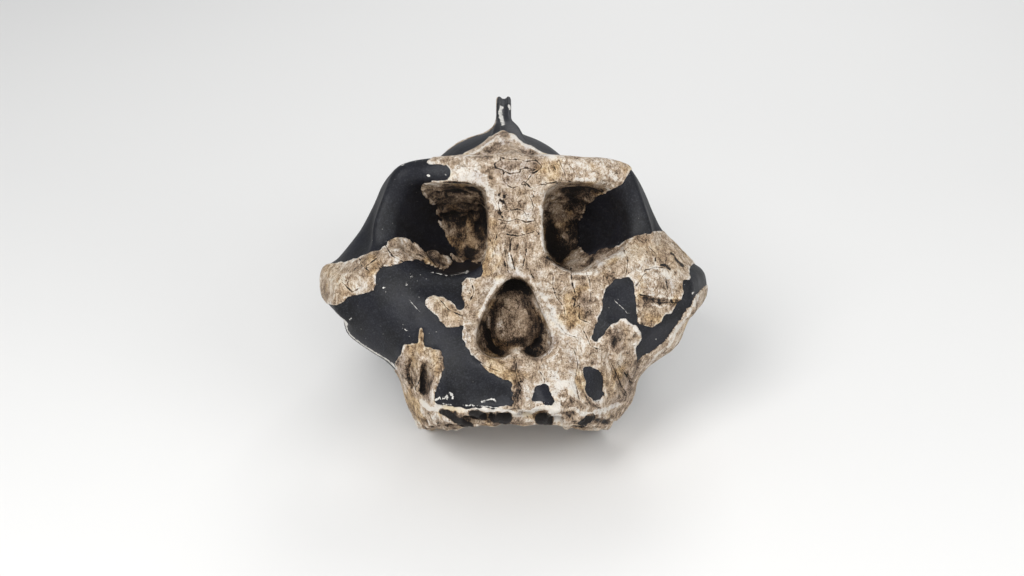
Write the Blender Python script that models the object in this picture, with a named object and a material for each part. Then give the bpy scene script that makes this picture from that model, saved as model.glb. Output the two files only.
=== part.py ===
"""A fossil hominin skull: bone fragments set in a dark filler that completes the head."""

import math

import bmesh
import bpy
import numpy as np
from mathutils import Matrix

# Lengths below are in millimetres, in the skull's own frame before it is laid down.
# X is the viewer's right, Y runs from the brow to the back of the head, Z is up.
MM = 0.001

# Viewpoint from which the outlines on the face are measured
VIEW_DISTANCE = 640.0
VIEW_TILT = math.radians(2.0)
VIEW_CENTRE = np.array([-0.9, 0.0, -7.0])
OUTLINE_UNIT = 0.45
OUTLINE_MIDDLE = (514.0, 288.0)

# Driving dimensions
REST_TILT = math.radians(27.95)
CELL = 1.2
TRIANGLES = 3790
GAP = 0.3
LEDGE = 0.4
FLAT_DEPTH = 0.6
FRAGMENT_DEPTH = 6.0
SHARP_ANGLE = math.radians(50)
MOST_SPREAD = 2.5
BONE_COLOUR = (0.42, 0.29, 0.17)
BONE_ROUGHNESS = 0.75
FILLER_COLOUR = (0.02, 0.021, 0.028)
FILLER_ROUGHNESS = 0.45
VAULT_CENTRE = (-6.5, 106, 24)
VAULT_RADII = (46.5, 66, 47)
BROW_HEIGHT = 44.6
BROW_RADIUS = 6.0
CREST_THICKNESS = 8.0
CREST_SHIFT = 5.0
CREST_GROOVE = (1.3, 60, 1.8)
ROW_HALF_WIDTH = 46.0
ROW_FRONT = -29.0
ROW_BACK = 50.0
ROW_BREADTH = 16.0
SOCKET_ROUND = 0.8
NASAL_DEPTH = 16.0
ORBIT_FRONT = 6.0
ORBIT_DEPTH = 46.0
ORBIT_WALL = 5.0
ORBIT_SIDE_WALL = 8.0
ORBIT_INSET = 2.0
ORBIT_TAPER = 0.72
ORBIT_CENTRE = (31.5, 27.0)
ORBIT_DRIFT = (13.0, 5.0)
ROW_POWER = 2.5
CUTTER_CELL = 2.0
PATCH_CELL = 1.5
PARIETAL_INSET = 2.0
# Triangles of each cutter
CUTTER_TRIANGLES = {
    "brow_bone": 220,
    "face_bone": 300,
    "right_cheekbone": 130,
    "right_parietal_fragment": 110,
    "occipital_fragment": 130,
    "left_incisor_filler": 70,
    "left_premolar_filler": 70,
}
# Ranges and steps of the nets that outlines and sheets are worked out on
CHART_LOW = (-110, -90)
CHART_HIGH = (160, 110)
OUTLINE_STEP = 0.5
SHEET_STEP = 1.0
LOW = (-99, -38, -84)
HIGH = (99, 187, 96)

# Brow ridge of one side: across, back, drop below the brow's height, change of radius
BROW = ((0, 6, 0, 0.5), (22, 5, 0, 0), (38, 8, 1, -0.4), (48.5, 13, 3.5, -0.6))
# Ridges that rise from the brow to the crest, with their radii
FOREHEAD_SPINE = (((-1, 10, 43), (-3, 30, 56), (-4.5, 44, 64)), (9, 6, 3))
FOREHEAD_RIDGES = (
    (((-27, 12, 42.5), (-20, 20, 49), (-13, 29, 54.5), (-5, 41, 62.5)), (7, 6, 5.5, 4)),
    (((20, 12, 42.5), (13, 20, 48.5), (6, 29, 54), (-2, 40, 62)), (7, 6, 5.5, 4)),
)
# Ridge round the nape and knuckle beside the base opening, of one side, with their radii
NAPE_RIDGE = ((66, 106, 4), (64, 124, 6), (50, 148, 10), (24, 167, 12), (0, 172, 13))
NAPE_RADII = (4, 5, 3.5, 3, 4)
CONDYLE = ((14, 112, -27), (17, 120, -24))
CONDYLE_RADII = (6, 5)
# Opening in the base of the braincase: middle, radii
BASE_OPENING = ((0, 127, -30), (13, 16, 18))
# Ridge behind the tooth row and wall behind the eye socket, of one side, with their radii
REAR_RIDGE = ((24, 50, -60), (19, 60, -46), (16, 68, -22))
REAR_RADII = (4, 4.5, 7)
SIDE_WALL = ((46, 24, 18), (38, 42, 12), (28, 64, 4))
SIDE_RADII = (5, 6.5, 8)
# Core of the face behind the nose, with its radii
NOSE_CORE = ((0.5, 16, 36), (0.5, 16, 8), (0.5, 14, -6))
NOSE_CORE_RADII = (12, 11, 13)
# Height of the crest's top edge, by distance back
CREST_TOP = (
    (26, 55), (36, 64), (50, 74), (66, 83), (82, 87.5), (100, 87), (120, 82), (140, 71),
    (158, 54), (172, 27), (180, 10),
)
# Height of the gum's edge, by distance back
GUM = ((-32, -57), (-27, -59.5), (-16, -67), (0, -70.5), (30, -75), (54, -77.5))
# Roof of the mouth
ROOF = ((-15, -66), (0, -58), (20, -54), (60, -52))
# Thickness of the face, by height
FACE_THICKNESS = ((-70, 30), (-45, 22), (-20, 14), (5, 11), (30, 10), (50, 14))
# Cheek arch: distance back, half breadth, height, half height, half thickness
ARCH = (
    (8, 76, -12, 9, 5), (20, 81.5, -9, 8, 4.2), (40, 86.4, -6.5, 6.5, 4), (60, 86.5, -4, 6.5, 3.8),
    (78, 80, 0, 6, 4), (92, 70, 1, 5.5, 5), (106, 60, 1, 5, 6),
)
# Sockets of one side: across, back, radius along the row, radius across it, depth
SOCKETS = (
    (4.5, -23.5, 3.2, 3.8, 8), (11.5, -22.5, 2.9, 3.6, 7.5), (18.5, -18.5, 3.6, 4.2, 9),
    (26, -10.5, 4.2, 5.4, 8), (31.5, -0.5, 4.6, 6, 8), (35.5, 11, 5.6, 6.2, 7.5),
    (38.3, 25, 6.2, 6.4, 7.5), (39.5, 39.5, 6.2, 6.2, 7),
)
# Direction of the tooth row: distance back, share across, share along
ROW_TURN = ((-24, 1, 0.1), (-10, 0.45, 0.9), (40, 0.08, 1))
# Depth of the face's front, one side: across, up, back
FACE_FRONT = (
    (0, 48, 1), (20, 48, 0), (38, 46, 3), (50, 42, 9), (60, 36, 18), (0, 30, 4), (30, 25, 4),
    (52, 25, 10), (62, 20, 16), (70, 14, 22), (0, 10, 4), (14, 6, 3), (30, 0, -1), (45, 1, -3),
    (60, 4, 2), (74, 4, 12), (84, -4, 26), (10, -8, -1), (22, -14, -4), (36, -15, -7), (52, -15, -7),
    (65, -14, -2), (76, -14, 8), (82, -16, 16), (0, -25, -8), (20, -30, -12), (36, -32, -11),
    (52, -32, -6), (66, -30, 4), (0, -42, -19), (16, -45, -20), (32, -46, -14), (46, -46, -4),
    (56, -44, 6), (0, -62, -30), (14, -62, -29), (26, -62, -22), (36, -62, -9), (46, -62, 8),
)

# Block of the palate: front, back, top, half breadth
PALATE_BLOCK = (-4, 58, -46, 66)
# Height of the seam between the brow and the rest of the face, seen from the viewpoint
SEAM_HEIGHT = 24.5
# How far back the main piece of the face goes, by height
MAIN_DEPTH = ((30, 51), (42, 40))
# How deep the cheekbone and the small patches go under the front, by place across
CHEEK_DEPTH = ((-55, 7), (-42, 24), (-30, 40))
PATCH_DEPTH = ((0, 6),)

# Outlines as seen from the viewpoint, in its own units, y down
FACE = (
    (428, 159), (408, 162), (394, 169), (382, 183), (375, 200), (367, 216), (359, 231), (346, 246),
    (334, 260), (324, 269), (321, 280), (324, 293), (333, 303), (342, 310), (343, 326), (348, 337),
    (368, 351), (390, 364), (401, 380), (405, 398), (412, 412), (432, 418), (470, 420), (515, 420),
    (560, 420), (602, 420), (624, 414), (634, 398), (637, 380), (646, 368), (660, 358), (678, 347),
    (686, 326), (694, 308), (705, 292), (704, 280), (694, 262), (680, 246), (664, 232), (654, 212),
    (645, 190), (634, 172), (624, 163), (600, 159), (560, 158), (512, 156), (470, 157),
)
RIGHT_ORBIT = (
    (487, 200), (487, 240), (485, 260), (474, 270), (458, 274), (440, 273), (422, 262), (406, 250),
    (396, 238), (393, 222), (396, 204), (405, 190), (418, 184), (440, 183), (470, 184), (483, 189),
)
LEFT_ORBIT = (
    (543, 200), (543, 235), (545, 254), (556, 266), (572, 273), (590, 269), (604, 258), (619, 248),
    (629, 236), (631, 222), (628, 205), (620, 192), (608, 185), (585, 183), (560, 183), (547, 189),
)
NOSE = (
    (503, 283), (510, 278), (522, 278), (531, 287), (540, 308), (550, 330), (553, 343), (546, 354),
    (534, 359), (524, 353), (519, 350), (513, 353), (502, 359), (487, 357), (477, 347), (476, 333),
    (482, 316), (490, 301), (497, 290),
)

# Outlines of the bone fragments and of the two small filler patches, seen from the viewpoint
MAIN_FRAGMENT = (
    (503, 129), (512, 135), (524, 145), (540, 152), (556, 157), (575, 153), (600, 150), (625, 154),
    (634, 166), (626, 176), (621, 185), (608, 190), (598, 196), (588, 205), (581, 215), (582, 231),
    (580, 250), (590, 254), (605, 245), (618, 245), (624, 239), (636, 236), (652, 232), (668, 226),
    (690, 245), (697, 262), (688, 270), (691, 279), (683, 282), (683, 299), (672, 310), (660, 322),
    (647, 328), (636, 320), (638, 305), (634, 289), (630, 277), (620, 279), (606, 286), (603, 294),
    (604, 303), (598, 315), (595, 328), (590, 339), (600, 342), (604, 331), (612, 322), (624, 317),
    (635, 326), (643, 337), (637, 346), (634, 359), (648, 354), (672, 333), (683, 316), (692, 299),
    (702, 285), (720, 280), (716, 310), (700, 345), (670, 372), (654, 400), (650, 425), (620, 450),
    (420, 450), (385, 425), (380, 390), (395, 372), (397, 360), (402, 346), (418, 343), (419, 330),
    (422, 325), (424, 344), (430, 347), (443, 350), (446, 366), (441, 375), (437, 390), (434, 403),
    (450, 407), (475, 408), (512, 408), (512, 392), (513, 383), (501, 379), (490, 372), (472, 357),
    (466, 343), (460, 331), (464, 325), (452, 329), (443, 323), (436, 315), (424, 309), (423, 300),
    (431, 295), (442, 294), (451, 301), (462, 311), (465, 305), (461, 292), (464, 279), (483, 276),
    (484, 262), (468, 262), (452, 263), (451, 238), (442, 229), (435, 214), (436, 203), (423, 196),
    (420, 184), (432, 181), (448, 181), (452, 167), (440, 165), (426, 163), (432, 158), (450, 152),
    (456, 150), (472, 144), (487, 137),
)
CHEEK_FRAGMENT = (
    (318, 262), (334, 262), (350, 260), (366, 255), (379, 250), (387, 243), (396, 237), (408, 241),
    (418, 247), (424, 252), (434, 246), (443, 254), (451, 264), (450, 268), (440, 272), (425, 262),
    (413, 259), (395, 266), (379, 267), (373, 277), (377, 290), (371, 294), (359, 295), (349, 299),
    (343, 304), (334, 304), (322, 304), (308, 296), (308, 275),
)
INCISOR_PATCH = (
    (537, 384), (548, 383), (550, 390), (554, 404), (546, 403), (533, 401), (532, 394),
)
PREMOLAR_PATCH = (
    (583, 366), (592, 366), (598, 371), (602, 380), (604, 391), (603, 400), (592, 403), (587, 394),
    (584, 378),
)
# Outline of the parietal fragment seen from the side: back, up
RIGHT_PARIETAL = (
    (80, 96), (90, 98), (120, 94), (142, 74), (152, 54), (146, 40), (128, 30), (116, 22), (106, 28),
    (108, 46), (104, 58), (98, 70), (88, 80),
)
# Outline of the occipital fragment seen from behind: across, up
OCCIPITAL = (
    (-46, -44), (46, -44), (60, -20), (52, 2), (42, 20), (26, 26), (10, 18), (-6, 30), (-24, 34),
    (-40, 24), (-58, 0), (-60, -20),
)
# Egg that bounds the occipital fragment in front
OCCIPITAL_MIDDLE = (0, 172, -4)
OCCIPITAL_RADII = (62, 42, 52)

# Ridges and slots on the face: a line in the outlines' unit, half width and height in millimetres
STROKES = (
    (((533, 362), (538, 380), (546, 400)), 2.2, 1.3),
    (((560, 352), (568, 378), (571, 404)), 3.2, 1.6),
    (((596, 352), (606, 368), (613, 398)), 2.2, 1.4),
    (((612, 326), (619, 340), (624, 372), (625, 396)), 3.0, 1.6),
    (((606, 356), (612, 378)), 1.6, -2.6),
    (((622, 352), (628, 384)), 1.4, -2.2),
    (((402, 352), (404, 372), (412, 396)), 2.4, 1.4),
    (((421, 332), (419, 352), (419, 392)), 1.6, 1.6),
    (((434, 352), (436, 372), (431, 398)), 2.4, 1.3),
    (((411, 360), (413, 384)), 1.7, -3.2),
    (((425, 370), (426, 390)), 1.6, -3.6),
    (((516, 362), (517, 400)), 1.8, 1.0),
    (((480, 356), (498, 372), (512, 378)), 3.0, 0.9),
    (((586, 290), (600, 278), (630, 262), (668, 250)), 4.0, 1.5),
    (((652, 330), (672, 318), (686, 300)), 3.0, 1.2),
    (((345, 282), (378, 258), (404, 250)), 4.5, 1.6),
    (((430, 303), (456, 318)), 3.0, 1.0),
    (((494, 262), (505, 274)), 2.2, 1.0),
    (((536, 262), (527, 274)), 2.2, 1.0),
    (((512, 196), (515, 240), (515, 270)), 6.0, 1.2),
)
NOSE_RIM = (1.9, 2.1, 1.5)


def outline(points):
    """Points of a view outline, in millimetres on the face's plane."""
    middle_a, middle_b = OUTLINE_MIDDLE
    return [((a - middle_a) * OUTLINE_UNIT, (middle_b - b) * OUTLINE_UNIT) for a, b in points]


def rounded_outline(points, times=2):
    """The closed outline with its corners cut off twice over."""
    pts = np.array(points, float)
    for _ in range(times):
        following = np.roll(pts, -1, 0)
        cut = [0.75 * pts + 0.25 * following, 0.25 * pts + 0.75 * following]
        pts = np.stack(cut, 1).reshape(-1, 2)
    return pts


def seen(p):
    """Where a point of the skull falls on the face's plane from the viewpoint."""
    up = np.array([0, math.sin(VIEW_TILT), math.cos(VIEW_TILT)])
    ahead = np.array([0, math.cos(VIEW_TILT), -math.sin(VIEW_TILT)])
    q = p - VIEW_CENTRE
    scale = VIEW_DISTANCE / (VIEW_DISTANCE + q @ ahead)
    return q[:, 0] * scale + VIEW_CENTRE[0], (q @ up) * scale


class Chart:
    """A function of two lengths, worked out once on a net and read back between its knots."""

    def __init__(self, make, low, high, step):
        self.low, self.step = low, step
        counts = [int(math.ceil((h - l) / step)) + 1 for l, h in zip(low, high)]
        knots = [l + step * np.arange(n) for l, n in zip(low, counts)]
        x, y = np.meshgrid(*knots, indexing="ij")
        self.values = make(x, y)

    def at(self, x, y):
        i = np.clip((x - self.low[0]) / self.step, 0, self.values.shape[0] - 1.001)
        j = np.clip((y - self.low[1]) / self.step, 0, self.values.shape[1] - 1.001)
        a, b = i.astype(int), j.astype(int)
        i, j = i - a, j - b
        v = self.values
        near = v[a, b] * (1 - i) + v[a + 1, b] * i
        far = v[a, b + 1] * (1 - i) + v[a + 1, b + 1] * i
        return near * (1 - j) + far * j


def outline_distance(points):
    """Signed distance from a closed outline, negative inside."""
    corners = rounded_outline(points)

    def distance(u, w):
        inside = np.zeros(u.shape, bool)
        best = np.full(u.shape, 1e9)
        for (ax, ay), (bx, by) in zip(corners, np.roll(corners, -1, 0)):
            dx, dy = bx - ax, by - ay
            t = np.clip(((u - ax) * dx + (w - ay) * dy) / (dx * dx + dy * dy), 0, 1)
            best = np.minimum(best, (u - ax - t * dx) ** 2 + (w - ay - t * dy) ** 2)
            if dy:
                inside ^= ((ay > w) != (by > w)) & (u < ax + (w - ay) * dx / dy)
        return np.where(inside, -1, 1) * np.sqrt(best)

    return Chart(distance, CHART_LOW, CHART_HIGH, OUTLINE_STEP)


def surface_through(points):
    """The smoothest sheet through points given as across, up, back, used on both sides."""
    both = np.array([(s * x, z, y) for x, z, y in points for s in ((1, -1) if x else (1,))], float)
    knots, heights = both[:, :2], both[:, 2]

    def kernel(r2):
        return np.where(r2 > 0, r2 * np.log(np.maximum(r2, 1e-12)), 0)

    n = len(both)
    a = np.zeros((n + 3, n + 3))
    a[:n, :n] = kernel(((knots[:, None] - knots[None]) ** 2).sum(2))
    a[:n, n:] = np.c_[np.ones(n), knots]
    a[n:, :n] = a[:n, n:].T
    weights = np.linalg.solve(a, np.r_[heights, 0, 0, 0])

    def height(x, z):
        total = weights[n] + weights[n + 1] * x + weights[n + 2] * z
        for (cx, cz), weight in zip(knots, weights):
            total = total + weight * kernel((x - cx) ** 2 + (z - cz) ** 2)
        return total

    return Chart(height, CHART_LOW, CHART_HIGH, SHEET_STEP)


def slope_of(chart):
    """How much nearer a sloping sheet is than its depth along Y says."""
    along_x, along_z = np.gradient(chart.values, chart.step)
    made = Chart(lambda x, z: x * 0, CHART_LOW, CHART_HIGH, SHEET_STEP)
    made.values = 1 / np.sqrt(1 + np.minimum(along_x ** 2 + along_z ** 2, 4))
    return made


def relief(u, w):
    """How far the ridges stand out of the face, less the slots."""
    at, spread, height = NOSE_RIM
    total = height * np.exp(-(((NOSE_CHART.at(u, w) - at) / spread) ** 2))
    for points, half_width, height in STROKES:
        line = outline(points)
        nearest = np.full(u.shape, 1e9)
        for (ax, ay), (bx, by) in zip(line, line[1:]):
            dx, dy = bx - ax, by - ay
            t = np.clip(((u - ax) * dx + (w - ay) * dy) / (dx * dx + dy * dy), 0, 1)
            nearest = np.minimum(nearest, (u - ax - t * dx) ** 2 + (w - ay - t * dy) ** 2)
        total = total + height * np.exp(-nearest / half_width ** 2)
    return total


FACE_CHART = outline_distance(outline(FACE))
NOSE_CHART = outline_distance(outline(NOSE))
ORBIT_CHARTS = {
    -1: outline_distance(outline(RIGHT_ORBIT)),
    1: outline_distance(outline(LEFT_ORBIT)),
}
FRONT_CHART = surface_through(FACE_FRONT)
SLOPE_CHART = slope_of(FRONT_CHART)
RELIEF_CHART = Chart(relief, CHART_LOW, CHART_HIGH, OUTLINE_STEP)


def join(a, b, width):
    """Union of two fields with a fillet."""
    h = np.clip(0.5 + 0.5 * (b - a) / width, 0, 1)
    return b + (a - b) * h - width * h * (1 - h)


def carve(a, b, width):
    """The first field less the second, with a rounded edge."""
    return -join(-a, b, width)


def meet(a, b, width):
    """Where both fields are, with a rounded edge."""
    return -join(-a, -b, width)


def ellipsoid(p, centre, radii):
    q = p - np.array(centre, float)
    k0 = np.sqrt(((q / radii) ** 2).sum(1))
    k1 = np.sqrt(((q / np.square(radii)) ** 2).sum(1))
    return k0 * (k0 - 1) / np.maximum(k1, 1e-9)


def bar(p, points, radii):
    """A chain of tapered round bars."""
    nearest = None
    pts = np.array(points, float)
    for a, b, ra, rb in zip(pts, pts[1:], radii, radii[1:]):
        ab = b - a
        t = np.clip((p - a) @ ab / (ab @ ab), 0, 1)
        one = np.sqrt(((p - a - t[:, None] * ab) ** 2).sum(1)) - (ra + (rb - ra) * t)
        nearest = one if nearest is None else np.minimum(nearest, one)
    return nearest


def by_table(value, table):
    """Columns of a table read at a value of its first column."""
    columns = np.array(table, float).T
    found = [np.interp(value, columns[0], column) for column in columns[1:]]
    return found[0] if len(found) == 1 else found


def row_outline(x, y, half_width, front, back):
    """The U of the tooth row in plan."""
    along = np.maximum(back - y, 0) / (back - front)
    bend = (np.abs(x / half_width) ** ROW_POWER + along ** ROW_POWER) ** (1 / ROW_POWER)
    return (bend - 1) * half_width


def orbit(p, side, grow=0.0):
    """An eye socket: the outline of its mouth, drawn in and towards the middle with depth."""
    u, w = seen(p)
    y = p[:, 1]
    s = np.clip((y - ORBIT_FRONT) / ORBIT_DEPTH, 0, 1)
    size = 1 - ORBIT_TAPER * s ** 1.5
    middle_u, middle_w = side * ORBIT_CENTRE[0], ORBIT_CENTRE[1]
    du = u - (middle_u - side * ORBIT_DRIFT[0] * s ** 1.1)
    dw = w - (middle_w - ORBIT_DRIFT[1] * s ** 1.1)
    mouth = ORBIT_CHARTS[side].at(middle_u + du / size, middle_w + dw / size) * size - grow
    return meet(mouth, (y - (ORBIT_FRONT + ORBIT_DEPTH - 4 + grow)) * 0.9, 9)


def braincase(p, q):
    vault = ellipsoid(p, VAULT_CENTRE, VAULT_RADII)
    vault = join(vault, ellipsoid(q, (30, 106, -2), (26, 40, 22)), 14)
    vault = join(vault, ellipsoid(p, (0, 142, 0), (44, 30, 26)), 16)
    vault = join(vault, ellipsoid(p, (0, 54, 30), (32, 36, 27)), 14)
    vault = join(vault, ellipsoid(q, (0, 98, -16), (30, 40, 14)), 12)
    vault = join(vault, ellipsoid(q, (56, 100, -2), (15, 18, 9)), 10)
    vault = join(vault, ellipsoid(q, (56, 124, -15), (12, 15, 20)), 12)
    vault = join(vault, bar(q, NAPE_RIDGE, NAPE_RADII), 8)
    return join(vault, bar(q, CONDYLE, CONDYLE_RADII), 5)


def forehead(p, q):
    points = [(across, back, BROW_HEIGHT - drop) for across, back, drop, _ in BROW]
    brow = bar(q, points, [BROW_RADIUS + more for *_, more in BROW])
    wedge = bar(p, *FOREHEAD_SPINE)
    for ridge, radii in FOREHEAD_RIDGES:
        wedge = join(wedge, bar(p, ridge, radii), 7)
    fill = ellipsoid(p, (-1, 34, 46), (16, 14, 9))
    return join(brow, join(wedge, fill, 6), 8)


def arch(q):
    y = np.clip(q[:, 1], ARCH[0][0], ARCH[-1][0])
    middle, height, half_height, half_width = by_table(y, ARCH)
    strap = meet(np.abs(q[:, 0] - middle) * 0.95 - half_width, np.abs(q[:, 2] - height) - half_height, 5)
    return meet(strap, np.maximum(ARCH[0][0] - q[:, 1], q[:, 1] - ARCH[-1][0]), 4)


def crest(p):
    x, y, z = p.T
    across = x + CREST_SHIFT * np.clip((y - 14) / 40, 0, 1)
    blade = meet(np.abs(across) - CREST_THICKNESS / 2, z - by_table(y, CREST_TOP), 1.5)
    along = np.stack([across, y * 0.02, z - by_table(y, CREST_TOP)], 1)
    blade = carve(blade, ellipsoid(along, (0, 0, 0.4), CREST_GROOVE), 0.8)
    return meet(blade, np.maximum(30 - y, np.maximum(y - 174, 10 - z)), 3)


def socket(q, across, back, along_radius, across_radius, depth):
    turn = np.array(by_table(back, ROW_TURN))
    turn = turn / np.hypot(*turn)
    dx, dy = q[:, 0] - across, q[:, 1] - back
    a = dx * turn[0] + dy * turn[1]
    b = dx * turn[1] - dy * turn[0]
    ring = (np.sqrt((a / along_radius) ** 2 + (b / across_radius) ** 2) - 1) * along_radius * 0.9
    return meet(ring, q[:, 2] - (by_table(back, GUM) + depth), 3)


def skull_field(p):
    """Signed distance from the whole skull's surface, near it; negative inside."""
    x, y, z = p.T
    half = np.abs(x)
    q = np.stack([half, y, z], 1)
    u, w = seen(p)
    front, slope = FRONT_CHART.at(x, z), SLOPE_CHART.at(x, z)
    before = (front - y) * slope - RELIEF_CHART.at(u, w)
    field = join(braincase(p, q), forehead(p, q), 7)
    face = meet(FACE_CHART.at(u, w), before, 4)
    face = meet(face, (y - front - by_table(z, FACE_THICKNESS)) * slope, 4)
    field = join(field, face, 5)
    wall = ORBIT_WALL + ORBIT_SIDE_WALL * np.clip((half - 26) / 14, 0, 1)
    cones = np.minimum(orbit(p, 1, wall), orbit(p, -1, wall))
    cones = meet(cones, FACE_CHART.at(u, w) + ORBIT_INSET, 5)
    field = join(field, meet(cones, 10 - y, 4), 6)
    field = join(field, bar(p, NOSE_CORE, NOSE_CORE_RADII), 6)
    jaw = row_outline(x, y, ROW_HALF_WIDTH, ROW_FRONT, ROW_BACK) - np.clip((z + 66) * 0.1, -1, 4)
    jaw = meet(meet(meet(jaw, z + 12, 5), y - ROW_BACK - 4, 8), before, 4)
    field = join(field, jaw, 8)
    field = join(field, arch(q), 7)
    field = join(field, bar(q, REAR_RIDGE, REAR_RADII), 6)
    field = join(field, bar(q, SIDE_WALL, SIDE_RADII), 6)
    field = join(field, crest(p), 9)
    field = meet(field, (by_table(y, GUM) - z) * np.where(y < -14, 0.85, 0.99), 1.5)
    soft = 2.5 + 7 * np.clip((half - 34) / 14, 0, 1)
    for side in (-1, 1):
        field = carve(field, orbit(p, side), soft)
    field = carve(field, meet(NOSE_CHART.at(u, w), y - NASAL_DEPTH, 6), 2)
    mouth = row_outline(x, y, ROW_HALF_WIDTH - ROW_BREADTH, ROW_FRONT + ROW_BREADTH - 2, ROW_BACK + 6)
    field = carve(field, meet(mouth, z - by_table(y, ROOF), 8), 3)
    for numbers in SOCKETS:
        field = carve(field, socket(q, *numbers), SOCKET_ROUND)
    return carve(field, ellipsoid(p, *BASE_OPENING), 3)


def sampled(field, low, high, cell, step=4):
    """The field on a grid, in full only near the surface; also the grid's counts and far corner."""
    low = np.array(low, float)
    counts = np.ceil((np.array(high) - low) / (cell * step)).astype(int) * step + 1
    axes = [low[i] + cell * np.arange(counts[i]) for i in range(3)]
    coarse = [axis[::step] for axis in axes]
    z, y, x = np.meshgrid(coarse[2], coarse[1], coarse[0], indexing="ij")
    full = field(np.stack([x.ravel(), y.ravel(), z.ravel()], 1)).reshape(z.shape)
    for axis, count in enumerate(counts[::-1]):
        at = np.arange(count) / step
        first = np.minimum(at.astype(int), full.shape[axis] - 2)
        share = (at - first).reshape([-1 if k == axis else 1 for k in range(3)])
        full = np.take(full, first, axis) * (1 - share) + np.take(full, first + 1, axis) * share
    near = np.abs(full) < cell * step * 1.3
    k, j, i = np.nonzero(near)
    points = np.stack([axes[0][i], axes[1][j], axes[2][k]], 1)
    full[near] = np.concatenate([field(some) for some in np.array_split(points, len(points) // 150000 + 1)])
    for edge in (0, -1):
        full[edge] = np.maximum(full[edge], cell)
        full[:, edge] = np.maximum(full[:, edge], cell)
        full[:, :, edge] = np.maximum(full[:, :, edge], cell)
    return full / cell, [int(c) for c in counts], [float(axis[-1]) for axis in axes]


def grid_tree(counts, low, high):
    """Node tree that turns the values stored on a grid's points into a closed surface."""
    tree = bpy.data.node_groups.new("surface_of_grid", "GeometryNodeTree")
    tree.interface.new_socket("Geometry", in_out="INPUT", socket_type="NodeSocketGeometry")
    tree.interface.new_socket("Geometry", in_out="OUTPUT", socket_type="NodeSocketGeometry")

    def add(kind, **settings):
        node = tree.nodes.new(kind)
        for name, value in settings.items():
            setattr(node, name, value)
        return node

    link = tree.links.new
    given, made = add("NodeGroupInput"), add("NodeGroupOutput")
    place = add("GeometryNodeInputPosition")
    steps = []
    for operation, value in (
        ("SUBTRACT", low),
        ("DIVIDE", [(high[i] - low[i]) / (counts[i] - 1) for i in range(3)]),
        ("ADD", (0.5, 0.5, 0.5)),
        ("FLOOR", None),
        ("DOT_PRODUCT", (1, counts[0], counts[0] * counts[1])),
    ):
        node = add("ShaderNodeVectorMath", operation=operation)
        link(steps[-1].outputs[0] if steps else place.outputs[0], node.inputs[0])
        if value is not None:
            node.inputs[1].default_value = value
        steps.append(node)
    index = add("FunctionNodeFloatToInt", rounding_mode="ROUND")
    link(steps[-1].outputs["Value"], index.inputs[0])
    stored = add("GeometryNodeInputNamedAttribute", data_type="FLOAT")
    stored.inputs["Name"].default_value = "density"
    taken = add("GeometryNodeSampleIndex", data_type="FLOAT", domain="POINT")
    link(given.outputs[0], taken.inputs["Geometry"])
    link(stored.outputs[0], taken.inputs["Value"])
    link(index.outputs[0], taken.inputs["Index"])
    cube = add("GeometryNodeVolumeCube")
    link(taken.outputs[0], cube.inputs["Density"])
    cube.inputs["Background"].default_value = -1.0
    cube.inputs["Min"].default_value = low
    cube.inputs["Max"].default_value = high
    for letter, count in zip("XYZ", counts):
        cube.inputs["Resolution " + letter].default_value = count
    surface = add("GeometryNodeVolumeToMesh", resolution_mode="GRID")
    surface.inputs["Threshold"].default_value = 0.0
    link(cube.outputs[0], surface.inputs["Volume"])
    link(surface.outputs[0], made.inputs[0])
    return tree


def evaluated_mesh(ob):
    """The object's mesh with its modifiers worked in."""
    graph = bpy.context.evaluated_depsgraph_get()
    return bpy.data.meshes.new_from_object(ob.evaluated_get(graph))


def linked(name, mesh):
    ob = bpy.data.objects.new(name, mesh)
    bpy.context.scene.collection.objects.link(ob)
    return ob


def surface_mesh(field, low, high, cell):
    """The closed surface where the field is zero, as a mesh in metres."""
    values, counts, top = sampled(field, low, high, cell)
    grid = bpy.data.meshes.new("grid")
    grid.vertices.add(values.size)
    density = grid.attributes.new("density", "FLOAT", "POINT")
    density.data.foreach_set("value", (-values).astype(np.float32).ravel())
    holder = linked("grid", grid)
    modifier = holder.modifiers.new("surface", "NODES")
    modifier.node_group = grid_tree(counts, [float(v) * MM for v in low], [v * MM for v in top])
    mesh = evaluated_mesh(holder)
    bpy.data.objects.remove(holder)
    return mesh


def front_region(points, depth, follows):
    """A fragment of the face: inside an outline seen from the viewpoint, down to a depth."""
    chart = outline_distance(outline(points))

    def region(p):
        x, y, z = p.T
        if follows:
            back = (y - FRONT_CHART.at(x, z) - by_table(x, depth)) * SLOPE_CHART.at(x, z)
        else:
            back = y - by_table(z, depth)
        return np.maximum(chart.at(*seen(p)), back)

    return region


MAIN_REGION = front_region(MAIN_FRAGMENT, MAIN_DEPTH, False)


def brow_bone_region(p):
    """The upper half of the main piece, above the crack across the bridge of the nose."""
    return np.maximum(MAIN_REGION(p), SEAM_HEIGHT - seen(p)[1])


def face_bone_region(p):
    """The main piece: the middle of the face and the whole palate."""
    x, y, z = p.T
    front, back, top, half_width = PALATE_BLOCK
    palate = np.maximum(np.maximum(front - y, z - top), np.maximum(y - back, np.abs(x) - half_width))
    return np.minimum(MAIN_REGION(p), palate)


def shell(p):
    """The outer layer of the braincase that its fragments are as thick as."""
    return -skull_field(p) - FRAGMENT_DEPTH


PARIETAL_CHART = outline_distance(RIGHT_PARIETAL)
OCCIPITAL_CHART = outline_distance(OCCIPITAL)


def parietal_region(p):
    x, y, z = p.T
    across = np.maximum(PARIETAL_CHART.at(y, z), x + CREST_SHIFT + PARIETAL_INSET)
    return np.maximum(across, shell(p))


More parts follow.
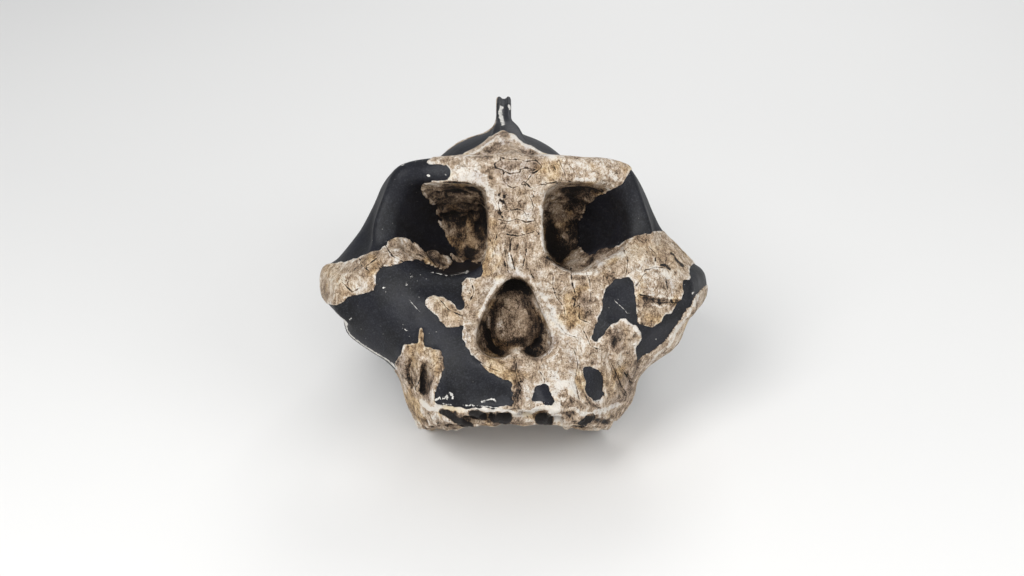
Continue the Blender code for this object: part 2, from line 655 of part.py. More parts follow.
def occipital_region(p):
    x, y, z = p.T
    behind = np.maximum(OCCIPITAL_CHART.at(x, z), ellipsoid(p, OCCIPITAL_MIDDLE, OCCIPITAL_RADII))
    return np.maximum(behind, shell(p))


def cutter_mesh(field, cell, triangles):
    """The closed surface of a region, thinned out."""
    mesh = surface_mesh(field, LOW, HIGH, cell)
    return thinned(mesh, triangles)


def thinned(mesh, triangles):
    """The mesh brought down to a number of triangles, keeping what bends most."""
    holder = linked("thinned", mesh)
    mesh.calc_loop_triangles()
    modifier = holder.modifiers.new("fewer", "DECIMATE")
    modifier.ratio = min(1.0, triangles / len(mesh.loop_triangles))
    modifier.use_collapse_triangulate = True
    made = evaluated_mesh(holder)
    bpy.data.objects.remove(holder)
    return made


def pushed_out(mesh, distance):
    """A copy of the mesh with each face moved out by the distance."""
    copy = mesh.copy()
    bm = bmesh.new()
    bm.from_mesh(copy)
    moves = [v.normal * distance * min(v.calc_shell_factor(), MOST_SPREAD) for v in bm.verts]
    for vertex, move in zip(bm.verts, moves):
        vertex.co += move
    bm.to_mesh(copy)
    bm.free()
    return copy


def combined(mesh, cutter, operation):
    """The Boolean of two closed meshes, as a new mesh."""
    ob, other = linked("uncut", mesh.copy()), linked("cutter", cutter)
    modifier = ob.modifiers.new("cut", "BOOLEAN")
    modifier.operation = operation
    modifier.object = other
    modifier.solver = "EXACT"
    modifier.use_self = True
    made = evaluated_mesh(ob)
    bpy.data.objects.remove(ob)
    bpy.data.objects.remove(other)
    return made


def set_apart(mesh, cutter):
    """The mesh less the cutter and a narrow gap round it."""
    wide = combined(mesh, pushed_out(cutter, GAP * MM), "DIFFERENCE")
    return combined(wide, cutter, "DIFFERENCE")


def largest_part(mesh):
    """The mesh with every loose part but the largest taken away."""
    bm = bmesh.new()
    bm.from_mesh(mesh)
    parts, found = [], set()
    for start in bm.verts:
        if start in found:
            continue
        found.add(start)
        part, reached = [], [start]
        while reached:
            vertex = reached.pop()
            part.append(vertex)
            for edge in vertex.link_edges:
                other = edge.other_vert(vertex)
                if other not in found:
                    found.add(other)
                    reached.append(other)
        parts.append(part)
    parts.sort(key=len)
    bmesh.ops.delete(bm, geom=[v for part in parts[:-1] for v in part], context="VERTS")
    bm.to_mesh(mesh)
    bm.free()
    return mesh


def clear_scene():
    for ob in list(bpy.data.objects):
        bpy.data.objects.remove(ob)


def material(name, colour, roughness):
    made = bpy.data.materials.new(name)
    made.use_nodes = True
    shader = made.node_tree.nodes["Principled BSDF"]
    shader.inputs["Base Color"].default_value = (*colour, 1)
    shader.inputs["Roughness"].default_value = roughness
    return made


def resting_matrix(whole):
    """Lays the skull back: lowest points just under the ground, middle of its box at the origin."""
    turn = Matrix.Rotation(-REST_TILT, 4, "X")
    co = np.array([turn @ v.co for v in whole.vertices])
    low, high = co.min(0), co.max(0)
    middle = (low + high) / 2
    return Matrix.Translation((-middle[0], -middle[1], -low[2] - FLAT_DEPTH * MM)) @ turn


def ground_mesh():
    """The block under the ground that trims the lowest points flat."""
    bm = bmesh.new()
    bmesh.ops.create_cube(bm, size=1.0, matrix=Matrix.Translation((0, 0, -0.5)))
    mesh = bpy.data.meshes.new("ground")
    bm.to_mesh(mesh)
    bm.free()
    return mesh


def split(whole, sunk):
    """Bone fragments cut from the whole, and the filler round them cut from the sunk copy."""
    fragments = {
        "brow_bone": brow_bone_region,
        "face_bone": face_bone_region,
        "right_cheekbone": front_region(CHEEK_FRAGMENT, CHEEK_DEPTH, True),
        "right_parietal_fragment": parietal_region,
        "occipital_fragment": occipital_region,
    }
    patches = {
        "left_incisor_filler": front_region(INCISOR_PATCH, PATCH_DEPTH, True),
        "left_premolar_filler": front_region(PREMOLAR_PATCH, PATCH_DEPTH, True),
    }
    pieces = {}
    rest, filler = whole, sunk
    for name, region in fragments.items():
        cutter = cutter_mesh(region, CUTTER_CELL, CUTTER_TRIANGLES[name])
        pieces[name] = largest_part(combined(rest, cutter.copy(), "INTERSECT"))
        rest = set_apart(rest, cutter.copy())
        filler = set_apart(filler, cutter)
    for name, region in patches.items():
        cutter = cutter_mesh(region, PATCH_CELL, CUTTER_TRIANGLES[name])
        pieces[name] = largest_part(combined(sunk, cutter.copy(), "INTERSECT"))
        pieces["face_bone"] = set_apart(pieces["face_bone"], cutter)
    pieces["filler"] = largest_part(filler)
    return pieces


def main():
    clear_scene()
    whole = largest_part(thinned(surface_mesh(skull_field, LOW, HIGH, CELL), TRIANGLES))
    sunk = surface_mesh(lambda p: skull_field(p) + LEDGE, LOW, HIGH, CELL)
    sunk = largest_part(thinned(sunk, TRIANGLES))
    lay = resting_matrix(whole)
    ground = ground_mesh()
    bone = material("fossil_bone", BONE_COLOUR, BONE_ROUGHNESS)
    dark = material("dark_filler", FILLER_COLOUR, FILLER_ROUGHNESS)
    for name, mesh in split(whole, sunk).items():
        mesh.transform(lay)
        mesh = combined(mesh, ground.copy(), "DIFFERENCE")
        mesh.materials.clear()
        made = (dark if name.endswith("filler") else bone).copy()
        made.name = name + "_surface"
        mesh.materials.append(made)
        for polygon in mesh.polygons:
            polygon.use_smooth = True
        mesh.set_sharp_from_angle(angle=SHARP_ANGLE)
        linked(name, mesh)


if __name__ == "__main__":
    main()
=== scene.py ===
"""A fossil hominin skull laid on a plain studio floor: pale bone fragments set in a dark filler."""

import math

import bmesh
import bpy
import numpy as np
from bpy.props import FloatProperty, FloatVectorProperty, PointerProperty
from mathutils import Matrix, Vector


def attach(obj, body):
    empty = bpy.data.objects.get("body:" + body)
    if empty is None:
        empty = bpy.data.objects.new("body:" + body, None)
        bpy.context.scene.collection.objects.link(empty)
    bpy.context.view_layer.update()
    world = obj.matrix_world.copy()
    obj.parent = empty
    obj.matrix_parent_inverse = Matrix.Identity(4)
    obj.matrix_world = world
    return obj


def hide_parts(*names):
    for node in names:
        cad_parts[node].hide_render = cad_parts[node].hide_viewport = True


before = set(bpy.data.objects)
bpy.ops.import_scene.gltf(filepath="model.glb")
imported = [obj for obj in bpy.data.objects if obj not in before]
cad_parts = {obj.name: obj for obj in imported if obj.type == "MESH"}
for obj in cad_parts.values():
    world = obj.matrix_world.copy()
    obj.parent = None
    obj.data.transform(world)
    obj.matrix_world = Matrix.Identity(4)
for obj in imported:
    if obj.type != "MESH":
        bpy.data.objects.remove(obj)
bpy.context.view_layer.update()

bl_info = {
    "name": "Fossil Skull",
    "version": (1, 0, 0),
    "blender": (4, 5, 0),
    "location": "View3D > Sidebar > Fossil Skull",
    "description": "Makes a fossil skull of bone fragments and dark filler, with its studio",
    "category": "Add Mesh",
}

# Lengths below are in millimetres, in the skull's own frame before it is laid down.
# X is the viewer's right, Y runs from the brow to the back of the head, Z is up.
MM = 0.001

# How the skull lies: tilt back, and where its own origin ends up, in metres
REST_TILT = math.radians(27.95)
REST_PLACE = (0.0002526, -0.0572285, 0.0929836)

# Viewpoint from which the outlines on the face are measured
VIEW_DISTANCE = 640.0
VIEW_TILT = math.radians(2.0)
VIEW_CENTRE = np.array([-0.9, 0.0, -7.0])
OUTLINE_UNIT = 0.45
OUTLINE_MIDDLE = (514.0, 288.0)

# Gap between neighbouring pieces, and how far the filler lies below the bone
GAP = 0.3
LEDGE = 0.4
# Thickness of the braincase's fragments, and how far the parietal one stays off the crest's middle
FRAGMENT_DEPTH = 6.0
PARIETAL_INSET = 2.0
# Middle and radii of the braincase's main egg
VAULT_CENTRE = (-6.5, 106, 24)
VAULT_RADII = (46.5, 66, 47)
# Its further eggs: whether mirrored, middle, radii, width of the fillet
VAULT_LOBES = (
    (True, (30, 106, -2), (26, 40, 22), 14),
    (False, (0, 142, 0), (44, 30, 26), 16),
    (False, (0, 54, 30), (32, 36, 27), 14),
    (True, (0, 98, -16), (30, 40, 14), 12),
    (True, (56, 100, -2), (15, 18, 9), 10),
    (True, (56, 124, -15), (12, 15, 20), 12),
)
BROW_HEIGHT = 44.6
BROW_RADIUS = 6.0
# Crest: thickness, shift to one side with where it starts and over what length it grows, groove
CREST_THICKNESS = 8.0
CREST_SHIFT = 5.0
CREST_SHIFT_START = 14
CREST_SHIFT_LENGTH = 40
CREST_GROOVE = (1.3, 60, 1.8)
CREST_GROOVE_LIFT = 0.4
CREST_GROOVE_STRETCH = 0.02
# Ends and foot of the crest: front, back, height
CREST_ENDS = (30, 174, 10)
# Tooth row: half width, front, back, breadth, power of its U, and how its sides flare with height
ROW_HALF_WIDTH = 46.0
ROW_FRONT = -29.0
ROW_BACK = 50.0
ROW_BREADTH = 16.0
ROW_POWER = 2.5
ROW_FOOT = -66
ROW_FLARE = 0.1
ROW_FLARE_RANGE = (-1, 4)
ROW_TOP = -12
ROW_END = 4
# Mouth behind the tooth row: how much nearer its front is, and how far it runs on at the back
MOUTH_FRONT = 2
MOUTH_BACK = 6
NASAL_DEPTH = 16.0
# Eye sockets: mouth, depth, walls, and how they narrow and drift with depth
ORBIT_FRONT = 6.0
ORBIT_DEPTH = 46.0
ORBIT_WALL = 5.0
ORBIT_SIDE_WALL = 8.0
ORBIT_SIDE_START = 26
ORBIT_SIDE_LENGTH = 14
ORBIT_WALL_FRONT = 10
ORBIT_INSET = 2.0
ORBIT_TAPER = 0.72
ORBIT_TAPER_POWER = 1.5
ORBIT_CENTRE = (31.5, 27.0)
ORBIT_DRIFT = (13.0, 5.0)
ORBIT_DRIFT_POWER = 1.1
ORBIT_TIP = 4
# Softness of an eye socket's rim: at the nose, what it gains, where that starts and over what length
ORBIT_RIM = (2.5, 7, 34, 14)
# Width of the fillet where each form joins those before it
FILLETS = {
    "nape_ridge": 8, "condyle": 5, "forehead_ridge": 7, "forehead_fill": 6, "wedge": 8,
    "forehead": 7, "face": 5, "orbit_walls": 6, "nose_core": 6, "tooth_row": 8, "arch": 7,
    "rear_ridge": 6, "side_wall": 6, "crest": 9,
}
# Width of the rounding on each edge
ROUNDINGS = {
    "face": 4, "orbit_tip": 9, "orbit_wall": 5, "orbit_wall_front": 4, "row_top": 5, "row_end": 8,
    "row_front": 4, "arch": 5, "arch_end": 4, "crest": 1.5, "crest_groove": 0.8, "crest_end": 3,
    "gum": 1.5, "socket_floor": 3, "socket": 0.8, "nose": 2, "nose_back": 6, "mouth": 3,
    "mouth_roof": 8, "base_opening": 3,
}
# Shares that keep a sloping field near to a distance
TIP_SLOPE = 0.9
ARCH_SLOPE = 0.95
SOCKET_SLOPE = 0.9
GUM_SLOPES = (0.85, 0.99)
GUM_BEND = -14
# A distance beyond all others
FAR = 1e9
# How a field is sampled: cells to a coarse step, coarse steps near the surface, points at once
COARSE_STEP = 4
NEAR_STEPS = 1.3
MOST_AT_ONCE = 150000
# Ranges and steps of the nets that outlines and sheets are worked out on
CHART_LOW = (-110, -90)
CHART_HIGH = (160, 110)
OUTLINE_STEP = 0.5
SHEET_STEP = 1.0

# Brow ridge of one side: across, back, drop below the brow's height, change of radius
BROW = ((0, 6, 0, 0.5), (22, 5, 0, 0), (38, 8, 1, -0.4), (48.5, 13, 3.5, -0.6))
# Ridges that rise from the brow to the crest, with their radii
FOREHEAD_SPINE = (((-1, 10, 43), (-3, 30, 56), (-4.5, 44, 64)), (9, 6, 3))
FOREHEAD_RIDGES = (
    (((-27, 12, 42.5), (-20, 20, 49), (-13, 29, 54.5), (-5, 41, 62.5)), (7, 6, 5.5, 4)),
    (((20, 12, 42.5), (13, 20, 48.5), (6, 29, 54), (-2, 40, 62)), (7, 6, 5.5, 4)),
)
# Egg that fills the forehead between its ridges: middle, radii
FOREHEAD_FILL = ((-1, 34, 46), (16, 14, 9))
# Ridge round the nape and knuckle beside the base opening, of one side, with their radii
NAPE_RIDGE = ((66, 106, 4), (64, 124, 6), (50, 148, 10), (24, 167, 12), (0, 172, 13))
NAPE_RADII = (4, 5, 3.5, 3, 4)
CONDYLE = ((14, 112, -27), (17, 120, -24))
CONDYLE_RADII = (6, 5)
# Opening in the base of the braincase: middle, radii
BASE_OPENING = ((0, 127, -30), (13, 16, 18))
# Ridge behind the tooth row and wall behind the eye socket, of one side, with their radii
REAR_RIDGE = ((24, 50, -60), (19, 60, -46), (16, 68, -22))
REAR_RADII = (4, 4.5, 7)
SIDE_WALL = ((46, 24, 18), (38, 42, 12), (28, 64, 4))
SIDE_RADII = (5, 6.5, 8)
# Core of the face behind the nose, with its radii
NOSE_CORE = ((0.5, 16, 36), (0.5, 16, 8), (0.5, 14, -6))
NOSE_CORE_RADII = (12, 11, 13)
# Height of the crest's top edge, by distance back
CREST_TOP = (
    (26, 55), (36, 64), (50, 74), (66, 83), (82, 87.5), (100, 87), (120, 82), (140, 71),
    (158, 54), (172, 27), (180, 10),
)
# Height of the gum's edge, by distance back
GUM = ((-32, -57), (-27, -59.5), (-16, -67), (0, -70.5), (30, -75), (54, -77.5))
# Roof of the mouth
ROOF = ((-15, -66), (0, -58), (20, -54), (60, -52))
# Thickness of the face, by height
FACE_THICKNESS = ((-70, 30), (-45, 22), (-20, 14), (5, 11), (30, 10), (50, 14))
# Cheek arch: distance back, half breadth, height, half height, half thickness
ARCH = (
    (8, 76, -12, 9, 5), (20, 81.5, -9, 8, 4.2), (40, 86.4, -6.5, 6.5, 4), (60, 86.5, -4, 6.5, 3.8),
    (78, 80, 0, 6, 4), (92, 70, 1, 5.5, 5), (106, 60, 1, 5, 6),
)
# Sockets of one side: across, back, radius along the row, radius across it, depth
SOCKETS = (
    (4.5, -23.5, 3.2, 3.8, 8), (11.5, -22.5, 2.9, 3.6, 7.5), (18.5, -18.5, 3.6, 4.2, 9),
    (26, -10.5, 4.2, 5.4, 8), (31.5, -0.5, 4.6, 6, 8), (35.5, 11, 5.6, 6.2, 7.5),
    (38.3, 25, 6.2, 6.4, 7.5), (39.5, 39.5, 6.2, 6.2, 7),
)
# Direction of the tooth row: distance back, share across, share along
ROW_TURN = ((-24, 1, 0.1), (-10, 0.45, 0.9), (40, 0.08, 1))
# Depth of the face's front, one side: across, up, back
FACE_FRONT = (
    (0, 48, 1), (20, 48, 0), (38, 46, 3), (50, 42, 9), (60, 36, 18), (0, 30, 4), (30, 25, 4),
    (52, 25, 10), (62, 20, 16), (70, 14, 22), (0, 10, 4), (14, 6, 3), (30, 0, -1), (45, 1, -3),
    (60, 4, 2), (74, 4, 12), (84, -4, 26), (10, -8, -1), (22, -14, -4), (36, -15, -7), (52, -15, -7),
    (65, -14, -2), (76, -14, 8), (82, -16, 16), (0, -25, -8), (20, -30, -12), (36, -32, -11),
    (52, -32, -6), (66, -30, 4), (0, -42, -19), (16, -45, -20), (32, -46, -14), (46, -46, -4),
    (56, -44, 6), (0, -62, -30), (14, -62, -29), (26, -62, -22), (36, -62, -9), (46, -62, 8),
)

# Block of the palate: front, back, top, half breadth
PALATE_BLOCK = (-4, 58, -46, 66)
# How far back the main piece of the face goes, by height
MAIN_DEPTH = ((30, 51), (42, 40))
# How deep the cheekbone and the small patches go under the front, by place across
CHEEK_DEPTH = ((-55, 7), (-42, 24), (-30, 40))
PATCH_DEPTH = ((0, 6),)

# Outlines as seen from the viewpoint, in its own units, y down
FACE = (
    (428, 159), (408, 162), (394, 169), (382, 183), (375, 200), (367, 216), (359, 231), (346, 246),
    (334, 260), (324, 269), (321, 280), (324, 293), (333, 303), (342, 310), (343, 326), (348, 337),
    (368, 351), (390, 364), (401, 380), (405, 398), (412, 412), (432, 418), (470, 420), (515, 420),
    (560, 420), (602, 420), (624, 414), (634, 398), (637, 380), (646, 368), (660, 358), (678, 347),
    (686, 326), (694, 308), (705, 292), (704, 280), (694, 262), (680, 246), (664, 232), (654, 212),
    (645, 190), (634, 172), (624, 163), (600, 159), (560, 158), (512, 156), (470, 157),
)
RIGHT_ORBIT = (
    (487, 200), (487, 240), (485, 260), (474, 270), (458, 274), (440, 273), (422, 262), (406, 250),
    (396, 238), (393, 222), (396, 204), (405, 190), (418, 184), (440, 183), (470, 184), (483, 189),
)
LEFT_ORBIT = (
    (543, 200), (543, 235), (545, 254), (556, 266), (572, 273), (590, 269), (604, 258), (619, 248),
    (629, 236), (631, 222), (628, 205), (620, 192), (608, 185), (585, 183), (560, 183), (547, 189),
)
NOSE = (
    (503, 283), (510, 278), (522, 278), (531, 287), (540, 308), (550, 330), (553, 343), (546, 354),
    (534, 359), (524, 353), (519, 350), (513, 353), (502, 359), (487, 357), (477, 347), (476, 333),
    (482, 316), (490, 301), (497, 290),
)

# Outlines of the bone fragments and of the two small filler patches, seen from the viewpoint
MAIN_FRAGMENT = (
    (503, 129), (512, 135), (524, 145), (540, 152), (556, 157), (575, 153), (600, 150), (625, 154),
    (634, 166), (626, 176), (621, 185), (608, 190), (598, 196), (588, 205), (581, 215), (582, 231),
    (580, 250), (590, 254), (605, 245), (618, 245), (624, 239), (636, 236), (652, 232), (668, 226),
    (690, 245), (697, 262), (688, 270), (691, 279), (683, 282), (683, 299), (672, 310), (660, 322),
    (647, 328), (636, 320), (638, 305), (634, 289), (630, 277), (620, 279), (606, 286), (603, 294),
    (604, 303), (598, 315), (595, 328), (590, 339), (600, 342), (604, 331), (612, 322), (624, 317),
    (635, 326), (643, 337), (637, 346), (634, 359), (648, 354), (672, 333), (683, 316), (692, 299),
    (702, 285), (720, 280), (716, 310), (700, 345), (670, 372), (654, 400), (650, 425), (620, 450),
    (420, 450), (385, 425), (380, 390), (395, 372), (397, 360), (402, 346), (418, 343), (419, 330),
    (422, 325), (424, 344), (430, 347), (443, 350), (446, 366), (441, 375), (437, 390), (434, 403),
    (450, 407), (475, 408), (512, 408), (512, 392), (513, 383), (501, 379), (490, 372), (472, 357),
    (466, 343), (460, 331), (464, 325), (452, 329), (443, 323), (436, 315), (424, 309), (423, 300),
    (431, 295), (442, 294), (451, 301), (462, 311), (465, 305), (461, 292), (464, 279), (483, 276),
    (484, 262), (468, 262), (452, 263), (451, 238), (442, 229), (435, 214), (436, 203), (423, 196),
    (420, 184), (432, 181), (448, 181), (452, 167), (440, 165), (426, 163), (432, 158), (450, 152),
    (456, 150), (472, 144), (487, 137),
)
CHEEK_FRAGMENT = (
    (318, 262), (334, 262), (350, 260), (366, 255), (379, 250), (387, 243), (396, 237), (408, 241),
    (418, 247), (424, 252), (434, 246), (443, 254), (451, 264), (450, 268), (440, 272), (425, 262),
    (413, 259), (395, 266), (379, 267), (373, 277), (377, 290), (371, 294), (359, 295), (349, 299),
    (343, 304), (334, 304), (322, 304), (308, 296), (308, 275),
)
INCISOR_PATCH = (
    (537, 384), (548, 383), (550, 390), (554, 404), (546, 403), (533, 401), (532, 394),
)
PREMOLAR_PATCH = (
    (583, 366), (592, 366), (598, 371), (602, 380), (604, 391), (603, 400), (592, 403), (587, 394),
    (584, 378),
)
# Outline of the parietal fragment seen from the side: back, up
RIGHT_PARIETAL = (
    (80, 96), (90, 98), (120, 94), (142, 74), (152, 54), (146, 40), (128, 30), (116, 22), (106, 28),
    (108, 46), (104, 58), (98, 70), (88, 80),
)
# Outline of the occipital fragment seen from behind: across, up
OCCIPITAL = (
    (-46, -44), (46, -44), (60, -20), (52, 2), (42, 20), (26, 26), (10, 18), (-6, 30), (-24, 34),
    (-40, 24), (-58, 0), (-60, -20),
)
# Egg that bounds the occipital fragment in front
OCCIPITAL_MIDDLE = (0, 172, -4)
OCCIPITAL_RADII = (62, 42, 52)

# Ridges and slots on the face: a line in the outlines' unit, half width and height in millimetres
STROKES = (
    (((533, 362), (538, 380), (546, 400)), 2.2, 1.3),
    (((560, 352), (568, 378), (571, 404)), 3.2, 1.6),
    (((596, 352), (606, 368), (613, 398)), 2.2, 1.4),
    (((612, 326), (619, 340), (624, 372), (625, 396)), 3.0, 1.6),
    (((606, 356), (612, 378)), 1.6, -2.6),
    (((622, 352), (628, 384)), 1.4, -2.2),
    (((402, 352), (404, 372), (412, 396)), 2.4, 1.4),
    (((421, 332), (419, 352), (419, 392)), 1.6, 1.6),
    (((434, 352), (436, 372), (431, 398)), 2.4, 1.3),
    (((411, 360), (413, 384)), 1.7, -3.2),
    (((425, 370), (426, 390)), 1.6, -3.6),
    (((516, 362), (517, 400)), 1.8, 1.0),
    (((480, 356), (498, 372), (512, 378)), 3.0, 0.9),
    (((586, 290), (600, 278), (630, 262), (668, 250)), 4.0, 1.5),
    (((652, 330), (672, 318), (686, 300)), 3.0, 1.2),
    (((345, 282), (378, 258), (404, 250)), 4.5, 1.6),
    (((430, 303), (456, 318)), 3.0, 1.0),
    (((494, 262), (505, 274)), 2.2, 1.0),
    (((536, 262), (527, 274)), 2.2, 1.0),
    (((512, 196), (515, 240), (515, 270)), 6.0, 1.2),
)
# Rim round the nose: distance from its outline, spread, height
NOSE_RIM = (1.9, 2.1, 1.5)


def outline(points):
    """Points of a view outline, in millimetres on the face's plane."""
    middle_a, middle_b = OUTLINE_MIDDLE
    return [((a - middle_a) * OUTLINE_UNIT, (middle_b - b) * OUTLINE_UNIT) for a, b in points]


def rounded_outline(points, times=2):
    """The closed outline with its corners cut off twice over."""
    pts = np.array(points, float)
    for _ in range(times):
        following = np.roll(pts, -1, 0)
        cut = [0.75 * pts + 0.25 * following, 0.25 * pts + 0.75 * following]
        pts = np.stack(cut, 1).reshape(-1, 2)
    return pts


def seen(p):
    """Where a point of the skull falls on the face's plane from the viewpoint."""
    up = np.array([0, math.sin(VIEW_TILT), math.cos(VIEW_TILT)])
    ahead = np.array([0, math.cos(VIEW_TILT), -math.sin(VIEW_TILT)])
    q = p - VIEW_CENTRE
    scale = VIEW_DISTANCE / (VIEW_DISTANCE + q @ ahead)
    return q[:, 0] * scale + VIEW_CENTRE[0], (q @ up) * scale


def gap_squared(u, w, start, end):
    """Squared distance from one straight length of a line."""
    (ax, ay), (bx, by) = start, end
    dx, dy = bx - ax, by - ay
    t = np.clip(((u - ax) * dx + (w - ay) * dy) / (dx * dx + dy * dy), 0, 1)
    return (u - ax - t * dx) ** 2 + (w - ay - t * dy) ** 2


def line_gap_squared(u, w, points):
    """Squared distance from a line through points of a view outline."""
    line = outline(points)
    nearest = np.full(u.shape, FAR)
    for start, end in zip(line, line[1:]):
        nearest = np.minimum(nearest, gap_squared(u, w, start, end))
    return nearest


def stroked(total, u, w, strokes):
    """A height with ridges and grooves along some lines added to it."""
    for points, half_width, height in strokes:
        total = total + height * np.exp(-line_gap_squared(u, w, points) / half_width ** 2)
    return total


class Chart:
    """A function of two lengths, worked out once on a net and read back between its knots."""

    def __init__(self, make, low, high, step):
        self.low, self.step = low, step
        counts = [int(math.ceil((last - first) / step)) + 1 for first, last in zip(low, high)]
        knots = [first + step * np.arange(count) for first, count in zip(low, counts)]
        x, y = np.meshgrid(*knots, indexing="ij")
        self.values = make(x, y)

    def at(self, x, y):
        i = np.clip((x - self.low[0]) / self.step, 0, self.values.shape[0] - 1.001)
        j = np.clip((y - self.low[1]) / self.step, 0, self.values.shape[1] - 1.001)
        a, b = i.astype(int), j.astype(int)
        i, j = i - a, j - b
        v = self.values
        near = v[a, b] * (1 - i) + v[a + 1, b] * i
        far = v[a, b + 1] * (1 - i) + v[a + 1, b + 1] * i
        return near * (1 - j) + far * j


def outline_distance(points):
    """Signed distance from a closed outline, negative inside."""
    corners = rounded_outline(points)

    def distance(u, w):
        inside = np.zeros(u.shape, bool)
        best = np.full(u.shape, FAR)
        for (ax, ay), (bx, by) in zip(corners, np.roll(corners, -1, 0)):
            best = np.minimum(best, gap_squared(u, w, (ax, ay), (bx, by)))
            if by != ay:
                inside ^= ((ay > w) != (by > w)) & (u < ax + (w - ay) * (bx - ax) / (by - ay))
        return np.where(inside, -1, 1) * np.sqrt(best)

    return Chart(distance, CHART_LOW, CHART_HIGH, OUTLINE_STEP)


def surface_through(points):
    """The smoothest sheet through points given as across, up, back, used on both sides."""
    both = np.array([(s * x, z, y) for x, z, y in points for s in ((1, -1) if x else (1,))], float)
    knots, heights = both[:, :2], both[:, 2]

    def kernel(r2):
        return np.where(r2 > 0, r2 * np.log(np.maximum(r2, 1e-12)), 0)

    n = len(both)
    a = np.zeros((n + 3, n + 3))
    a[:n, :n] = kernel(((knots[:, None] - knots[None]) ** 2).sum(2))
    a[:n, n:] = np.c_[np.ones(n), knots]
    a[n:, :n] = a[:n, n:].T
    weights = np.linalg.solve(a, np.r_[heights, 0, 0, 0])

    def height(x, z):
        total = weights[n] + weights[n + 1] * x + weights[n + 2] * z
        for (cx, cz), weight in zip(knots, weights):
            total = total + weight * kernel((x - cx) ** 2 + (z - cz) ** 2)
        return total

    return Chart(height, CHART_LOW, CHART_HIGH, SHEET_STEP)


def slope_of(chart):
    """How much nearer a sloping sheet is than its depth along Y says."""
    along_x, along_z = np.gradient(chart.values, chart.step)
    made = Chart(lambda x, z: x * 0, CHART_LOW, CHART_HIGH, SHEET_STEP)
    made.values = 1 / np.sqrt(1 + np.minimum(along_x ** 2 + along_z ** 2, 4))
    return made


def relief(u, w):
    """How far the ridges stand out of the face, less the slots."""
    at, spread, height = NOSE_RIM
    rim = height * np.exp(-(((NOSE_CHART.at(u, w) - at) / spread) ** 2))
    return stroked(rim, u, w, STROKES)


FACE_CHART = outline_distance(outline(FACE))
NOSE_CHART = outline_distance(outline(NOSE))
ORBIT_CHARTS = {
    -1: outline_distance(outline(RIGHT_ORBIT)),
    1: outline_distance(outline(LEFT_ORBIT)),
}
FRONT_CHART = surface_through(FACE_FRONT)
SLOPE_CHART = slope_of(FRONT_CHART)
RELIEF_CHART = Chart(relief, CHART_LOW, CHART_HIGH, OUTLINE_STEP)


def join(a, b, width):
    """Union of two fields with a fillet."""
    h = np.clip(0.5 + 0.5 * (b - a) / width, 0, 1)
    return b + (a - b) * h - width * h * (1 - h)


def carve(a, b, width):
    """The first field less the second, with a rounded edge."""
    return -join(-a, b, width)


def meet(a, b, width):
    """Where both fields are, with a rounded edge."""
    return -join(-a, -b, width)


def ellipsoid(p, centre, radii):
    q = p - np.array(centre, float)
    k0 = np.sqrt(((q / radii) ** 2).sum(1))
    k1 = np.sqrt(((q / np.square(radii)) ** 2).sum(1))
    return k0 * (k0 - 1) / np.maximum(k1, 1e-9)


def bar(p, points, radii):
    """A chain of tapered round bars."""
    nearest = None
    pts = np.array(points, float)
    for a, b, ra, rb in zip(pts, pts[1:], radii, radii[1:]):
        ab = b - a
        t = np.clip((p - a) @ ab / (ab @ ab), 0, 1)
        one = np.sqrt(((p - a - t[:, None] * ab) ** 2).sum(1)) - (ra + (rb - ra) * t)
        nearest = one if nearest is None else np.minimum(nearest, one)
    return nearest


def by_table(value, table):
    """Columns of a table read at a value of its first column."""
    columns = np.array(table, float).T
    found = [np.interp(value, columns[0], column) for column in columns[1:]]
    return found[0] if len(found) == 1 else found


def row_outline(x, y, half_width, front, back):
    """The U of the tooth row in plan."""
    along = np.maximum(back - y, 0) / (back - front)
    bend = (np.abs(x / half_width) ** ROW_POWER + along ** ROW_POWER) ** (1 / ROW_POWER)
    return (bend - 1) * half_width


def orbit(p, side, grow=0.0):
    """An eye socket: the outline of its mouth, drawn in and towards the middle with depth."""
    u, w = seen(p)
    y = p[:, 1]
    s = np.clip((y - ORBIT_FRONT) / ORBIT_DEPTH, 0, 1)
    size = 1 - ORBIT_TAPER * s ** ORBIT_TAPER_POWER
    middle_u, middle_w = side * ORBIT_CENTRE[0], ORBIT_CENTRE[1]
    du = u - (middle_u - side * ORBIT_DRIFT[0] * s ** ORBIT_DRIFT_POWER)
    dw = w - (middle_w - ORBIT_DRIFT[1] * s ** ORBIT_DRIFT_POWER)
    mouth = ORBIT_CHARTS[side].at(middle_u + du / size, middle_w + dw / size) * size - grow
    tip = (y - (ORBIT_FRONT + ORBIT_DEPTH - ORBIT_TIP + grow)) * TIP_SLOPE
    return meet(mouth, tip, ROUNDINGS["orbit_tip"])


def braincase(p, q):
    vault = ellipsoid(p, VAULT_CENTRE, VAULT_RADII)
    for mirrored, centre, radii, fillet in VAULT_LOBES:
        vault = join(vault, ellipsoid(q if mirrored else p, centre, radii), fillet)
    vault = join(vault, bar(q, NAPE_RIDGE, NAPE_RADII), FILLETS["nape_ridge"])
    return join(vault, bar(q, CONDYLE, CONDYLE_RADII), FILLETS["condyle"])


def forehead(p, q):
    points = [(across, back, BROW_HEIGHT - drop) for across, back, drop, _ in BROW]
    brow = bar(q, points, [BROW_RADIUS + more for *_, more in BROW])
    wedge = bar(p, *FOREHEAD_SPINE)
    for ridge, radii in FOREHEAD_RIDGES:
        wedge = join(wedge, bar(p, ridge, radii), FILLETS["forehead_ridge"])
    wedge = join(wedge, ellipsoid(p, *FOREHEAD_FILL), FILLETS["forehead_fill"])
    return join(brow, wedge, FILLETS["wedge"])


